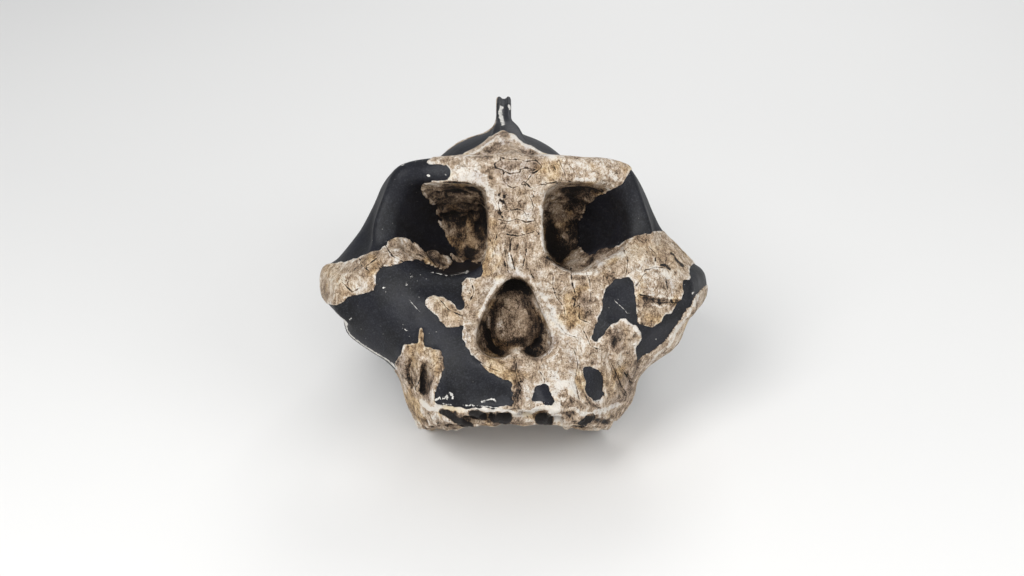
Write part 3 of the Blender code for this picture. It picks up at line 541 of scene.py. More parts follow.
def arch(q):
    first, last = ARCH[0][0], ARCH[-1][0]
    middle, height, half_height, half_width = by_table(np.clip(q[:, 1], first, last), ARCH)
    side = np.abs(q[:, 0] - middle) * ARCH_SLOPE - half_width
    strap = meet(side, np.abs(q[:, 2] - height) - half_height, ROUNDINGS["arch"])
    return meet(strap, np.maximum(first - q[:, 1], q[:, 1] - last), ROUNDINGS["arch_end"])


def crest(p):
    x, y, z = p.T
    front, back, foot = CREST_ENDS
    across = x + CREST_SHIFT * np.clip((y - CREST_SHIFT_START) / CREST_SHIFT_LENGTH, 0, 1)
    above = z - by_table(y, CREST_TOP)
    blade = meet(np.abs(across) - CREST_THICKNESS / 2, above, ROUNDINGS["crest"])
    along = np.stack([across, y * CREST_GROOVE_STRETCH, above], 1)
    groove = ellipsoid(along, (0, 0, CREST_GROOVE_LIFT), CREST_GROOVE)
    blade = carve(blade, groove, ROUNDINGS["crest_groove"])
    return meet(blade, np.maximum(front - y, np.maximum(y - back, foot - z)), ROUNDINGS["crest_end"])


def face_plate(p, u, w, before):
    """The plate of the face: inside its outline, behind its front, and as thick as its table says."""
    x, y, z = p.T
    depth = (y - FRONT_CHART.at(x, z) - by_table(z, FACE_THICKNESS)) * SLOPE_CHART.at(x, z)
    plate = meet(FACE_CHART.at(u, w), before, ROUNDINGS["face"])
    return meet(plate, depth, ROUNDINGS["face"])


def orbit_walls(p, u, w, half):
    """The walls that stand round both eye sockets behind the face."""
    wall = ORBIT_WALL + ORBIT_SIDE_WALL * np.clip((half - ORBIT_SIDE_START) / ORBIT_SIDE_LENGTH, 0, 1)
    cones = np.minimum(orbit(p, 1, wall), orbit(p, -1, wall))
    cones = meet(cones, FACE_CHART.at(u, w) + ORBIT_INSET, ROUNDINGS["orbit_wall"])
    return meet(cones, ORBIT_WALL_FRONT - p[:, 1], ROUNDINGS["orbit_wall_front"])


def tooth_row(p, before):
    x, y, z = p.T
    row = row_outline(x, y, ROW_HALF_WIDTH, ROW_FRONT, ROW_BACK)
    row = row - np.clip((z - ROW_FOOT) * ROW_FLARE, *ROW_FLARE_RANGE)
    row = meet(row, z - ROW_TOP, ROUNDINGS["row_top"])
    row = meet(row, y - ROW_BACK - ROW_END, ROUNDINGS["row_end"])
    return meet(row, before, ROUNDINGS["row_front"])


def mouth(p):
    """The hollow of the palate."""
    x, y, z = p.T
    half_width, front = ROW_HALF_WIDTH - ROW_BREADTH, ROW_FRONT + ROW_BREADTH - MOUTH_FRONT
    inside = row_outline(x, y, half_width, front, ROW_BACK + MOUTH_BACK)
    return meet(inside, z - by_table(y, ROOF), ROUNDINGS["mouth_roof"])


def socket(q, across, back, along_radius, across_radius, depth):
    turn = np.array(by_table(back, ROW_TURN))
    turn = turn / np.hypot(*turn)
    dx, dy = q[:, 0] - across, q[:, 1] - back
    a = dx * turn[0] + dy * turn[1]
    b = dx * turn[1] - dy * turn[0]
    ring = (np.sqrt((a / along_radius) ** 2 + (b / across_radius) ** 2) - 1) * along_radius
    floor = q[:, 2] - (by_table(back, GUM) + depth)
    return meet(ring * SOCKET_SLOPE, floor, ROUNDINGS["socket_floor"])


def skull_field(p):
    """Signed distance from the whole skull's surface, near it; negative inside."""
    x, y, z = p.T
    half = np.abs(x)
    q = np.stack([half, y, z], 1)
    u, w = seen(p)
    before = (FRONT_CHART.at(x, z) - y) * SLOPE_CHART.at(x, z) - RELIEF_CHART.at(u, w)
    forms = {
        "forehead": forehead(p, q),
        "face": face_plate(p, u, w, before),
        "orbit_walls": orbit_walls(p, u, w, half),
        "nose_core": bar(p, NOSE_CORE, NOSE_CORE_RADII),
        "tooth_row": tooth_row(p, before),
        "arch": arch(q),
        "rear_ridge": bar(q, REAR_RIDGE, REAR_RADII),
        "side_wall": bar(q, SIDE_WALL, SIDE_RADII),
        "crest": crest(p),
    }
    field = braincase(p, q)
    for name, form in forms.items():
        field = join(field, form, FILLETS[name])
    under = (by_table(y, GUM) - z) * np.where(y < GUM_BEND, *GUM_SLOPES)
    field = meet(field, under, ROUNDINGS["gum"])
    softness, gain, start, length = ORBIT_RIM
    rim = softness + gain * np.clip((half - start) / length, 0, 1)
    for side in (-1, 1):
        field = carve(field, orbit(p, side), rim)
    nose = meet(NOSE_CHART.at(u, w), y - NASAL_DEPTH, ROUNDINGS["nose_back"])
    field = carve(field, nose, ROUNDINGS["nose"])
    field = carve(field, mouth(p), ROUNDINGS["mouth"])
    for numbers in SOCKETS:
        field = carve(field, socket(q, *numbers), ROUNDINGS["socket"])
    return carve(field, ellipsoid(p, *BASE_OPENING), ROUNDINGS["base_opening"])


def sampled(field, low, high, cell):
    """The field on a grid, in full only near the surface; also the grid's counts and far corner."""
    low, step = np.array(low, float), COARSE_STEP
    counts = np.ceil((np.array(high) - low) / (cell * step)).astype(int) * step + 1
    axes = [low[i] + cell * np.arange(counts[i]) for i in range(3)]
    coarse = [axis[::step] for axis in axes]
    z, y, x = np.meshgrid(coarse[2], coarse[1], coarse[0], indexing="ij")
    full = field(np.stack([x.ravel(), y.ravel(), z.ravel()], 1)).reshape(z.shape)
    for axis, count in enumerate(counts[::-1]):
        at = np.arange(count) / step
        first = np.minimum(at.astype(int), full.shape[axis] - 2)
        share = (at - first).reshape([-1 if k == axis else 1 for k in range(3)])
        full = np.take(full, first, axis) * (1 - share) + np.take(full, first + 1, axis) * share
    near = np.abs(full) < cell * step * NEAR_STEPS
    k, j, i = np.nonzero(near)
    points = np.stack([axes[0][i], axes[1][j], axes[2][k]], 1)
    shares = np.array_split(points, len(points) // MOST_AT_ONCE + 1)
    full[near] = np.concatenate([field(some) for some in shares])
    for edge in (0, -1):
        full[edge] = np.maximum(full[edge], cell)
        full[:, edge] = np.maximum(full[:, edge], cell)
        full[:, :, edge] = np.maximum(full[:, :, edge], cell)
    return full / cell, [int(c) for c in counts], [float(axis[-1]) for axis in axes]


# Count of random values along each side of the block that the grain is read from
GRAIN_SIDE = 32
GRAIN_SEED = 7
# Broken edge of the fragments' outlines: size and depth of each grain
RAGGED = ((4.2, 0.7), (1.9, 0.65))
# How far the filler reaches under the bone, so that no slit shows
UNDERLAP = 1.5
# Relief of the bone's surface: size and height of each grain
BONE_RELIEF = ((6.0, 0.24), (2.6, 0.14), (1.5, 0.07))
CAVITY_RELIEF = ((9.0, 1.5), (4.2, 1.0), (2.0, 0.45))
GUM_RELIEF = ((4.5, 1.0), (2.0, 0.6))
FILLER_RELIEF = ((11.0, 0.12), (4.0, 0.05))
# How much of the fine ridges is lost in the eye sockets and in the nose
CAVITY_LOSS = 0.6
# Relief fades out between these distances from the skull's own surface, given as negative
SKIN = (-1.2, -0.5)
# Reach of the gum's relief above its edge, and the height that it fades over
GUM_REACH = 12
GUM_FADE = 9
# Most triangles of one piece
MOST_TRIANGLES = 190000

# Boxes that hold the pieces: low corner, high corner
EXTENTS = {
    "face_bone": ((-61, -36, -83), (98, 63, 72)),
    "right_cheekbone": ((-98, -8, -22), (-24, 62, 24)),
    "right_parietal_fragment": ((-56, 79, 19), (-1, 156, 92)),
    "occipital_fragment": ((-56, 126, -33), (55, 184, 38)),
    "filler": ((-99, -36, -66), (98, 180, 92)),
    "left_incisor_filler": ((3, -34, -61), (21, -13, -43)),
    "left_premolar_filler": ((26, -21, -62), (45, 4, -37)),
}
BONES = ("face_bone", "right_cheekbone", "right_parietal_fragment", "occipital_fragment")
PATCHES = ("left_incisor_filler", "left_premolar_filler")
# Solids that a piece stands for, where they aren't just the one of its own name
STANDS_FOR = {"face_bone": ("face_bone", "brow_bone")}

# Fine ridges and grooves, seen from the viewpoint: a line, its half width and height in millimetres
FINE_STROKES = (
    (((460, 155), (478, 150), (492, 143), (500, 136)), 1.2, 0.7),
    (((512, 136), (528, 148), (548, 156), (570, 160)), 1.2, 0.7),
    (((472, 156), (488, 150), (500, 144)), 1.6, -0.35),
    (((522, 148), (536, 156)), 1.6, -0.3),
    (((510, 239), (510, 251), (513, 263), (516, 273)), 0.9, -0.7),
    (((518, 236), (516, 250), (514, 262)), 0.9, -0.5),
    (((505, 249), (507, 263), (508, 272)), 0.9, -0.6),
    (((525, 240), (526, 251), (523, 266)), 0.9, -0.6),
    (((498, 244), (500, 256)), 1.0, 0.5),
    (((531, 246), (530, 258)), 1.0, 0.5),
    (((611, 363), (617, 375), (621, 386), (626, 394)), 1.0, -1.0),
    (((619, 364), (626, 375), (631, 383)), 1.0, -0.9),
    (((604, 352), (609, 366), (613, 384), (616, 396)), 1.0, 0.7),
    (((634, 352), (632, 370), (628, 388)), 1.2, 0.7),
    (((640, 356), (638, 372)), 1.0, -0.7),
    (((425, 364), (422, 378), (421, 391)), 1.2, -1.0),
    (((405, 345), (411, 366), (413, 384)), 1.1, 0.6),
    (((438, 356), (436, 376), (430, 396)), 0.9, 0.5),
    (((486, 340), (484, 328), (488, 314)), 1.2, 0.8),
    (((546, 348), (551, 338), (548, 326)), 1.2, 0.7),
    (((515, 352), (518, 345)), 2.2, 0.9),
    (((573, 247), (590, 262), (600, 270)), 1.4, -0.6),
    (((516, 363), (515, 371), (518, 381), (520, 388), (517, 399)), 1.3, -0.6),
    (((640, 295), (654, 301), (671, 302), (680, 303)), 1.2, -0.6),
    (((612, 330), (618, 338), (619, 350), (614, 352), (609, 343), (612, 332)), 1.2, 0.6),
    (((614, 342), (615, 345)), 2.0, -1.0),
)
# Cracks in the bone
CRACKS = (
    ((494, 165), (496, 162), (500, 161), (501, 157), (509, 160), (518, 159), (523, 160), (526, 163),
     (526, 167), (524, 169), (520, 169), (520, 173), (515, 173), (509, 174), (506, 171), (500, 169),
     (496, 168), (494, 165)),
    ((526, 163), (529, 161), (535, 160), (540, 164), (542, 166), (539, 170), (536, 171), (534, 169),
     (531, 169), (527, 167)),
    ((537, 171), (532, 174), (529, 178), (526, 182), (525, 185)),
    ((506, 171), (503, 174), (503, 179), (506, 183), (509, 187), (513, 188), (518, 186), (523, 185),
     (527, 184), (530, 187)),
    ((545, 184), (539, 185), (534, 187), (533, 191), (538, 193)),
    ((545, 184), (550, 183), (557, 182)),
    ((495, 195), (500, 196), (506, 195)),
    ((548, 166), (549, 170)),
    ((564, 171), (565, 175), (565, 179)),
    ((553, 165), (555, 169)),
    ((560, 163), (562, 167)),
    ((500, 214), (506, 209), (511, 210), (518, 209), (524, 211), (527, 217)),
    ((499, 219), (507, 222), (516, 219), (526, 222), (538, 220)),
    ((507, 234), (518, 236), (528, 234), (537, 230)),
    ((502, 196), (498, 204), (500, 212)),
    ((530, 197), (534, 206), (531, 214)),
    ((511, 239), (510, 251), (513, 263), (516, 273)),
    ((505, 250), (507, 263), (508, 272)),
    ((526, 240), (526, 251), (523, 266)),
    ((497, 236), (492, 248), (494, 262)),
    ((549, 262), (553, 275), (553, 288), (557, 298), (564, 307), (565, 316)),
    ((587, 274), (590, 282), (591, 296)),
    ((571, 268), (572, 284), (576, 296), (574, 306)),
    ((624, 251), (628, 258), (627, 268), (626, 275)),
    ((646, 270), (656, 267), (666, 268), (674, 272)),
    ((644, 274), (639, 282), (636, 286)),
    ((666, 269), (666, 281), (668, 289)),
    ((640, 295), (649, 296), (654, 302), (661, 303), (671, 302), (680, 303)),
    ((673, 254), (677, 260), (688, 267)),
    ((650, 248), (656, 254), (655, 262)),
    ((580, 307), (579, 319), (590, 323)),
    ((560, 326), (566, 334), (578, 338)),
    ((584, 331), (590, 345), (600, 350)),
    ((611, 363), (617, 375), (621, 386), (626, 393)),
    ((619, 365), (626, 375), (630, 382)),
    ((575, 352), (578, 364), (575, 380), (579, 398)),
    ((540, 372), (545, 380), (541, 392)),
    ((517, 362), (515, 371), (518, 381), (521, 388), (517, 399)),
    ((360, 259), (361, 265), (369, 271)),
    ((364, 268), (372, 262), (377, 258)),
    ((425, 248), (428, 256), (436, 265)),
    ((386, 246), (392, 256), (404, 262)),
    ((343, 283), (352, 292), (358, 289)),
    ((471, 281), (474, 292), (470, 300)),
    ((440, 300), (449, 310), (460, 315)),
    ((474, 358), (486, 366), (500, 372)),
    ((411, 372), (412, 382), (416, 390)),
    ((425, 364), (421, 376), (417, 386)),
)
# Near-white places on the bone, partly pale bone and partly painted highlights on raised edges and margins:
# a line or a spot, its half width in the outlines' unit, its strength
PALE_AND_HIGHLIGHTS = (
    (((560, 168), (590, 170), (615, 174)), 11.0, 0.36),
    (((454, 175), (470, 176), (482, 181)), 7.5, 1.1),
    (((456, 168), (480, 168)), 9.0, 0.4),
    (((464, 157), (478, 151), (490, 142), (499, 135)), 1.4, 0.8),
    (((510, 134), (528, 146), (546, 155), (568, 162)), 1.4, 0.8),
    (((500, 148), (512, 144)), 9.0, 0.20),
    (((645, 284), (664, 292)), 11.0, 0.42),
    (((649, 268), (660, 267)), 1.6, 0.9),
    (((642, 294), (655, 296), (668, 298), (681, 298)), 1.3, 0.9),
    (((650, 304), (660, 307), (668, 305)), 1.4, 0.7),
    (((636, 262), (660, 258)), 10.0, 0.22),
    (((336, 276), (356, 284)), 11.0, 0.32),
    (((508, 196), (514, 214), (518, 234)), 9.0, 0.22),
    (((489, 314), (489, 326), (492, 338), (496, 346)), 1.2, 0.9),
    (((500, 322), (504, 334)), 6.0, 0.45),
    (((518, 318), (520, 326)), 5.0, 0.25),
    (((476, 181), (486, 187), (489, 196)), 3.0, 0.7),
    (((491, 192), (493, 203), (498, 208)), 4.0, 0.8),
    (((498, 197), (501, 206)), 3.6, 0.9),
    (((499, 137), (503, 143)), 4.0, 0.7),
    (((612, 172), (618, 180)), 5.0, 0.6),
    (((575, 179), (600, 181), (612, 185)), 2.5, 0.7),
    (((541, 218), (540, 232), (542, 246)), 1.0, 0.7),
    (((542, 294), (552, 310), (560, 322), (563, 331)), 2.6, 1.0),
    (((552, 316), (561, 327)), 4.0, 0.9),
    (((498, 280), (488, 297), (479, 316)), 2.0, 0.9),
    (((558, 388), (570, 382), (573, 391)), 6.5, 0.95),
    (((554, 396), (556, 408)), 5.0, 1.2),
    (((557, 399), (566, 400)), 4.0, 0.8),
    (((550, 372), (558, 380)), 5.0, 0.7),
    (((557, 338), (552, 350), (540, 358)), 1.6, 0.6),
    (((562, 342), (556, 355), (545, 362)), 1.4, 0.5),
    (((342, 276), (350, 282)), 8.0, 0.45),
    (((622, 319), (632, 324), (643, 338)), 2.6, 0.9),
    (((636, 344), (634, 354)), 3.0, 0.6),
    (((421, 401), (429, 409), (436, 409), (446, 407), (459, 410), (471, 408), (484, 409), (490, 411),
      (499, 410), (508, 412), (515, 415), (523, 415), (530, 412), (540, 408), (549, 407)), 2.2, 1.5),
    (((564, 410), (574, 409), (583, 414), (592, 414), (610, 408), (618, 404)), 2.0, 1.3),
    (((552, 406), (556, 415), (556, 423)), 4.2, 2.4),
    (((424, 416), (436, 423)), 3.0, 0.5),
    (((598, 416), (612, 420)), 3.0, 0.5),
    (((476, 426), (492, 427)), 1.6, 0.6),
    (((699, 295), (690, 312), (681, 324), (668, 347), (654, 357)), 1.8, 0.7),
    (((426, 328), (421, 326)), 2.0, 0.9),
    (((460, 316), (466, 330), (472, 342)), 1.8, 0.5),
    (((541, 205), (542, 230), (545, 250), (555, 265), (572, 273), (590, 274)), 1.3, 1.1),
    (((509, 250), (510, 266)), 1.4, 0.7),
    (((520, 250), (520, 266)), 1.4, 0.7),
    (((500, 190), (515, 196), (528, 190)), 8.0, 0.3),
    (((642, 262), (672, 280)), 12.0, 0.4),
    (((512, 205), (522, 214), (518, 224)), 6.0, 0.35),
)
# Painted shade in the hollows: the sockets of the tooth row, under the brows, in small pits, and on the
# shadowed backs of the eye sockets and of the nose
HOLLOW_SHADES = (
    (((442, 411), (450, 415), (458, 421), (470, 426)), 3.4, 2.0),
    (((473, 414), (482, 416)), 4.2, 2.2),
    (((495, 417), (506, 418)), 5.6, 2.4),
    (((541, 419), (548, 420)), 5.8, 2.4),
    (((582, 424), (591, 417)), 4.0, 2.0),
    (((426, 363), (423, 374)), 1.5, 0.8),
    (((422, 378), (421, 390)), 2.4, 0.85),
    (((580, 386), (585, 396), (590, 404), (600, 408)), 2.2, 0.8),
    (((576, 400), (584, 408)), 2.0, 0.7),
    (((474, 424), (490, 426), (506, 424)), 2.2, 0.75),
    (((562, 413), (572, 418), (578, 424)), 5.5, 0.75),
    (((512, 424), (530, 424)), 3.0, 0.7),
    (((424, 420), (442, 427), (470, 429)), 2.4, 0.5),
    (((596, 420), (608, 422)), 4.0, 0.9),
    (((515, 421), (530, 421)), 4.0, 0.4),
    (((662, 265), (665, 265)), 2.4, 1.3),
    (((668, 267), (670, 269)), 2.4, 1.2),
    (((671, 253), (676, 259), (683, 266)), 1.3, 1.2),
    (((646, 296), (647, 299)), 1.5, 1.2),
    (((652, 298), (653, 301)), 1.5, 1.1),
    (((659, 300), (660, 304)), 1.9, 1.3),
    (((664, 301), (664, 303)), 1.5, 1.2),
    (((671, 300), (672, 303)), 1.5, 1.2),
    (((676, 300), (676, 302)), 1.3, 1.1),
    (((598, 424), (614, 416)), 3.4, 0.6),
    (((430, 414), (436, 418)), 3.0, 0.5),
    (((444, 184), (466, 185), (480, 190)), 4.5, 1.1),
    (((499, 195), (504, 197)), 1.4, 1.6),
    (((500, 200), (503, 202)), 1.6, 1.6),
    (((499, 213), (503, 218)), 1.4, 1.0),
    (((481, 194), (484, 206), (486, 232)), 3.6, 0.95),
    (((446, 195), (450, 199)), 2.4, 0.8),
    (((476, 226), (480, 232)), 2.0, 0.6),
    (((464, 200), (472, 212)), 2.2, 0.5),
    (((452, 270), (470, 270), (480, 264)), 2.6, 1.0),
    (((556, 184), (586, 185), (607, 192)), 3.0, 0.8),
    (((546, 228), (548, 240)), 3.0, 0.5),
    (((548, 257), (557, 265), (572, 272)), 2.6, 1.0),
    (((581, 208), (584, 222)), 3.0, 0.4),
    (((507, 283), (516, 281), (524, 284)), 3.6, 1.0),
    (((504, 262), (506, 272)), 2.0, 0.9),
    (((526, 266), (530, 272), (535, 281)), 2.0, 0.9),
    (((530, 228), (538, 233)), 1.4, 0.8),
    (((487, 236), (492, 242)), 1.5, 0.8),
    (((500, 246), (504, 262)), 1.0, 0.8),
    (((515, 248), (515, 270)), 0.9, 0.9),
    (((522, 264), (528, 254)), 0.9, 0.8),
    (((500, 294), (506, 288)), 3.0, 0.6),
    (((489, 331), (490, 341), (496, 351)), 3.0, 1.3),
    (((534, 300), (539, 316), (541, 330)), 2.0, 0.6),
    (((494, 302), (504, 306)), 3.0, 0.7),
    (((525, 352), (534, 354)), 2.6, 0.6),
    (((500, 305), (503, 303)), 2.4, 0.6),
)
# Painted light on the walls within the nose and the eye sockets
CAVITY_LIGHTS = (
    (((480, 330), (484, 345)), 7.0, 0.9),
    (((536, 300), (546, 322), (546, 342)), 6.0, 0.8),
    (((505, 348), (512, 350)), 5.0, 0.5),
    (((530, 345), (538, 348)), 5.0, 0.7),
    (((501, 296), (512, 292), (522, 298)), 6.0, 0.6),
    (((556, 200), (562, 220), (566, 240)), 11.0, 0.65),
    (((567, 244), (574, 257), (592, 264), (612, 252)), 9.0, 0.65),
    (((462, 222), (470, 238)), 10.0, 0.2),
)
# Golden brown places on the bone
GOLDEN = (
    (((636, 250), (660, 252), (676, 262)), 12.0, 0.5),
    (((330, 270), (345, 290)), 10.0, 0.5),
    (((436, 298), (455, 316)), 6.0, 0.6),
    (((500, 366), (512, 376)), 6.0, 0.7),
    (((410, 346), (415, 366)), 4.0, 0.8),
    (((434, 352), (437, 372)), 5.0, 0.8),
    (((466, 232), (472, 246), (468, 262)), 8.0, 0.7),
    (((646, 316), (656, 318)), 7.0, 0.5),
    (((476, 288), (470, 300)), 7.0, 0.4),
    (((604, 376), (612, 392)), 5.0, 0.5),
)
# Grey brown places on the bone
STAINS = (
    (((500, 166), (520, 166), (536, 167)), 6.5, 0.75),
    (((484, 154), (496, 147), (502, 140)), 4.0, 0.35),
    (((524, 150), (540, 157)), 4.0, 0.4),
    (((421, 330), (421, 346)), 4.0, 0.9),
    (((508, 178), (518, 179)), 6.0, 0.5),
    (((578, 296), (586, 310)), 9.0, 0.6),
    (((614, 334), (616, 346)), 4.5, 1.0),
    (((596, 256), (618, 244)), 8.0, 0.5),
    (((516, 366), (520, 382), (518, 400)), 4.5, 0.8),
    (((430, 250), (436, 262)), 6.0, 0.4),
    (((399, 358), (404, 378)), 6.0, 0.7),
    (((640, 360), (630, 390), (612, 404)), 6.0, 0.45),
    (((432, 374), (428, 396)), 3.0, 0.8),
    (((556, 338), (548, 352), (536, 358)), 3.5, 0.6),
)
# Porous places on the bone
PORES = (
    (((502, 196), (516, 206), (510, 216)), 9.0, 0.8),
    (((548, 170), (560, 176)), 8.0, 0.7),
    (((600, 166), (616, 172)), 8.0, 0.5),
    (((516, 366), (520, 400)), 7.0, 1.0),
    (((536, 370), (544, 402)), 6.0, 0.7),
    (((566, 400), (600, 404)), 6.0, 0.8),
    (((582, 390), (592, 408)), 8.0, 1.0),
    (((645, 300), (676, 303)), 5.0, 1.0),
    (((552, 236), (558, 252)), 9.0, 0.9),
    (((494, 236), (500, 250)), 6.0, 0.6),
    (((430, 195), (440, 205)), 6.0, 0.6),
)
# Rounded back wall of the nose, seen from the viewpoint: middle, radii and height in millimetres
NOSE_BACK = ((513, 322), (12.4, 14.4), 6.0)
# Hollow round it: depth, place and width by the egg's radii
NOSE_MOAT = (1.2, 1.12, 0.08)
# Chipped places on the filler, showing white
CHIPS = (
    (((435, 400), (440, 398), (448, 398)), 1.5, 1.3),
    (((448, 393), (453, 394), (452, 398)), 1.6, 1.25),
    (((411, 277), (414, 275)), 1.3, 0.95),
    (((407, 280), (407, 282)), 1.3, 0.8),
    (((406, 286), (410, 288)), 1.8, 0.8),
    (((421, 275), (422, 275)), 1.0, 1.0),
    (((383, 287), (386, 288)), 1.0, 1.0),
    (((392, 286), (393, 286)), 1.0, 1.0),
    (((398, 285), (400, 285)), 0.9, 1.0),
    (((349, 320), (350, 319)), 1.4, 0.95),
    (((352, 317), (352, 318)), 1.1, 0.9),
    (((381, 335), (383, 334)), 1.4, 0.95),
    (((402, 328), (403, 327)), 1.2, 0.85),
    (((402, 336), (404, 334)), 1.2, 0.8),
    (((406, 331), (407, 330)), 0.9, 0.95),
    (((468, 271), (466, 273)), 1.8, 1.0),
    (((430, 272), (450, 276), (466, 272)), 1.2, 0.8),
    (((427, 175), (429, 176)), 1.6, 1.2),
    (((445, 174), (448, 175)), 1.4, 0.9),
    (((401, 166), (411, 160), (421, 158), (432, 158)), 1.0, 0.75),
    (((441, 155), (448, 152)), 1.6, 1.1),
    (((451, 149), (455, 145)), 1.2, 0.9),
    (((499, 98), (503, 104), (500, 112), (503, 124)), 2.6, 1.15),
    (((509, 99), (510, 108)), 2.4, 1.15),
    (((404, 278), (413, 288)), 6.0, 0.45),
    (((384, 284), (396, 290)), 6.0, 0.42),
    (((344, 304), (350, 328)), 6.0, 0.42),
    (((482, 402), (492, 398), (498, 402)), 1.5, 1.1),
    (((500, 401), (504, 400)), 1.3, 1.0),
    (((592, 402), (600, 400)), 1.6, 1.05),
    (((692, 294), (697, 288)), 1.4, 0.9),
    (((421, 401), (430, 406), (444, 404), (458, 407), (470, 405), (484, 406), (504, 409)), 1.2, 0.9),
)
# Pale outer edge of the filler, partly worn and partly a painted highlight, and how far back from the front
# of the face it reaches
WORN_AND_LIT_DEPTH = 5.0
WORN_AND_LIT_EDGES = (
    (((333, 292), (340, 304), (343, 318), (344, 330), (348, 338), (358, 344), (375, 356), (393, 367),
      (400, 375)), 7.5, 1.4),
    (((699, 295), (690, 312), (681, 324), (668, 347), (654, 357)), 4.0, 1.1),
)
# Scratches in the filler
SCRATCHES = (
    ((411, 302), (418, 310)),
    ((616, 302), (626, 311)),
)
# Reach of a crack's or scratch's colour either side of its line, in millimetres, and share that fades
LINE_REACH = 1.6
LINE_FADE = 0.4
# How far marks wander from their lines, and over what length, in millimetres; cracks wander half
SHAKE, SHAKE_SIZE = 0.35, 1.7
# Width of the painted highlight along a fragment's outline
HIGHLIGHT_RIM_WIDTH = 1.3
# Marks that are stored on the bone's mesh under these names, among them painted light and shade
PLACES = {
    "pale": PALE_AND_HIGHLIGHTS, "glow": CAVITY_LIGHTS, "golden": GOLDEN, "stain": STAINS, "pores": PORES, "hollow": HOLLOW_SHADES,
}


class Grain:
    """Smooth random values through space, from -1 to 1."""

    def __init__(self, seed):
        rng = np.random.default_rng(seed)
        self.values = rng.uniform(-1, 1, (GRAIN_SIDE,) * 3)

    def at(self, p, size):
        q = p / size
        whole = np.floor(q).astype(int)
        t = q - whole
        t = t * t * (3 - 2 * t)
        whole %= GRAIN_SIDE
        after = (whole + 1) % GRAIN_SIDE
        total = np.zeros(len(p))
        for k in range(8):
            bits = (k & 1, k >> 1 & 1, k >> 2 & 1)
            i, j, m = (after[:, a] if bit else whole[:, a] for a, bit in enumerate(bits))
            share = np.prod([t[:, a] if bit else 1 - t[:, a] for a, bit in enumerate(bits)], 0)
            total += self.values[i, j, m] * share
        return total

    def layers(self, p, layers):
        return sum(height * self.at(p, size) for size, height in layers)


GRAIN = Grain(GRAIN_SEED)


def ragged(points):
    """Distance from an outline whose edge is broken."""
    chart = outline_distance(points)

    def broken(u, w):
        flat = np.stack([u.ravel(), w.ravel(), np.zeros(u.size)], 1)
        return chart.values + GRAIN.layers(flat, RAGGED).reshape(u.shape)

    return Chart(broken, CHART_LOW, CHART_HIGH, OUTLINE_STEP)


def front_region(points, depth, follows):
    """A fragment of the face: inside an outline seen from the viewpoint, down to a depth."""
    chart = ragged(outline(points))

    def region(p, form):
        x, y, z = p.T
        if follows:
            back = (y - FRONT_CHART.at(x, z) - by_table(x, depth)) * SLOPE_CHART.at(x, z)
        else:
            back = y - by_table(z, depth)
        return np.maximum(chart.at(*seen(p)), back)

    return region


MAIN_REGION = front_region(MAIN_FRAGMENT, MAIN_DEPTH, False)


def face_bone_region(p, form):
    """The main piece: the middle of the face and the whole palate."""
    x, y, z = p.T
    front, back, top, half_width = PALATE_BLOCK
    palate = np.maximum(np.maximum(front - y, z - top), np.maximum(y - back, np.abs(x) - half_width))
    return np.minimum(MAIN_REGION(p, form), palate)


PARIETAL_CHART = ragged(RIGHT_PARIETAL)
OCCIPITAL_CHART = ragged(OCCIPITAL)


def parietal_region(p, form):
    x, y, z = p.T
    across = np.maximum(PARIETAL_CHART.at(y, z), x + CREST_SHIFT + PARIETAL_INSET)
    return np.maximum(across, -form - FRAGMENT_DEPTH)


def occipital_region(p, form):
    x, y, z = p.T
    behind = np.maximum(OCCIPITAL_CHART.at(x, z), ellipsoid(p, OCCIPITAL_MIDDLE, OCCIPITAL_RADII))
    return np.maximum(behind, -form - FRAGMENT_DEPTH)


REGIONS = {
    "face_bone": face_bone_region,
    "right_cheekbone": front_region(CHEEK_FRAGMENT, CHEEK_DEPTH, True),
    "right_parietal_fragment": parietal_region,
    "occipital_fragment": occipital_region,
    "left_incisor_filler": front_region(INCISOR_PATCH, PATCH_DEPTH, True),
    "left_premolar_filler": front_region(PREMOLAR_PATCH, PATCH_DEPTH, True),
}


def outline_of(name, p, form=None):
    """Signed distance from the sides of a fragment of bone; negative inside."""
    form = skull_field(p) if form is None else form
    sides = REGIONS[name](p, form)
    if name == "face_bone":
        for patch in PATCHES:
            sides = np.maximum(sides, -REGIONS[patch](p, form))
        return sides
    return np.maximum(sides, GAP - REGIONS["face_bone"](p, form))


def piece_field(name):
    """Signed distance from one piece's surface, near it; negative inside."""

    def field(p):
        form = skull_field(p)
        if name == "filler":
            value = form + LEDGE
            for bone in BONES:
                value = np.maximum(value, -REGIONS[bone](p, form) - UNDERLAP)
            return value
        if name in PATCHES:
            return np.maximum(form + LEDGE, REGIONS[name](p, form) - UNDERLAP)
        return np.maximum(form, outline_of(name, p, form))

    return field


def marked(u, w, marks):
    """How strongly a point of the face lies in some marks, from 0 up."""
    total = np.zeros(u.shape)
    for points, half_width, strength in marks:
        nearest = line_gap_squared(u, w, points)
        total = np.maximum(total, strength * np.exp(-nearest / (half_width * OUTLINE_UNIT) ** 2))
    return total


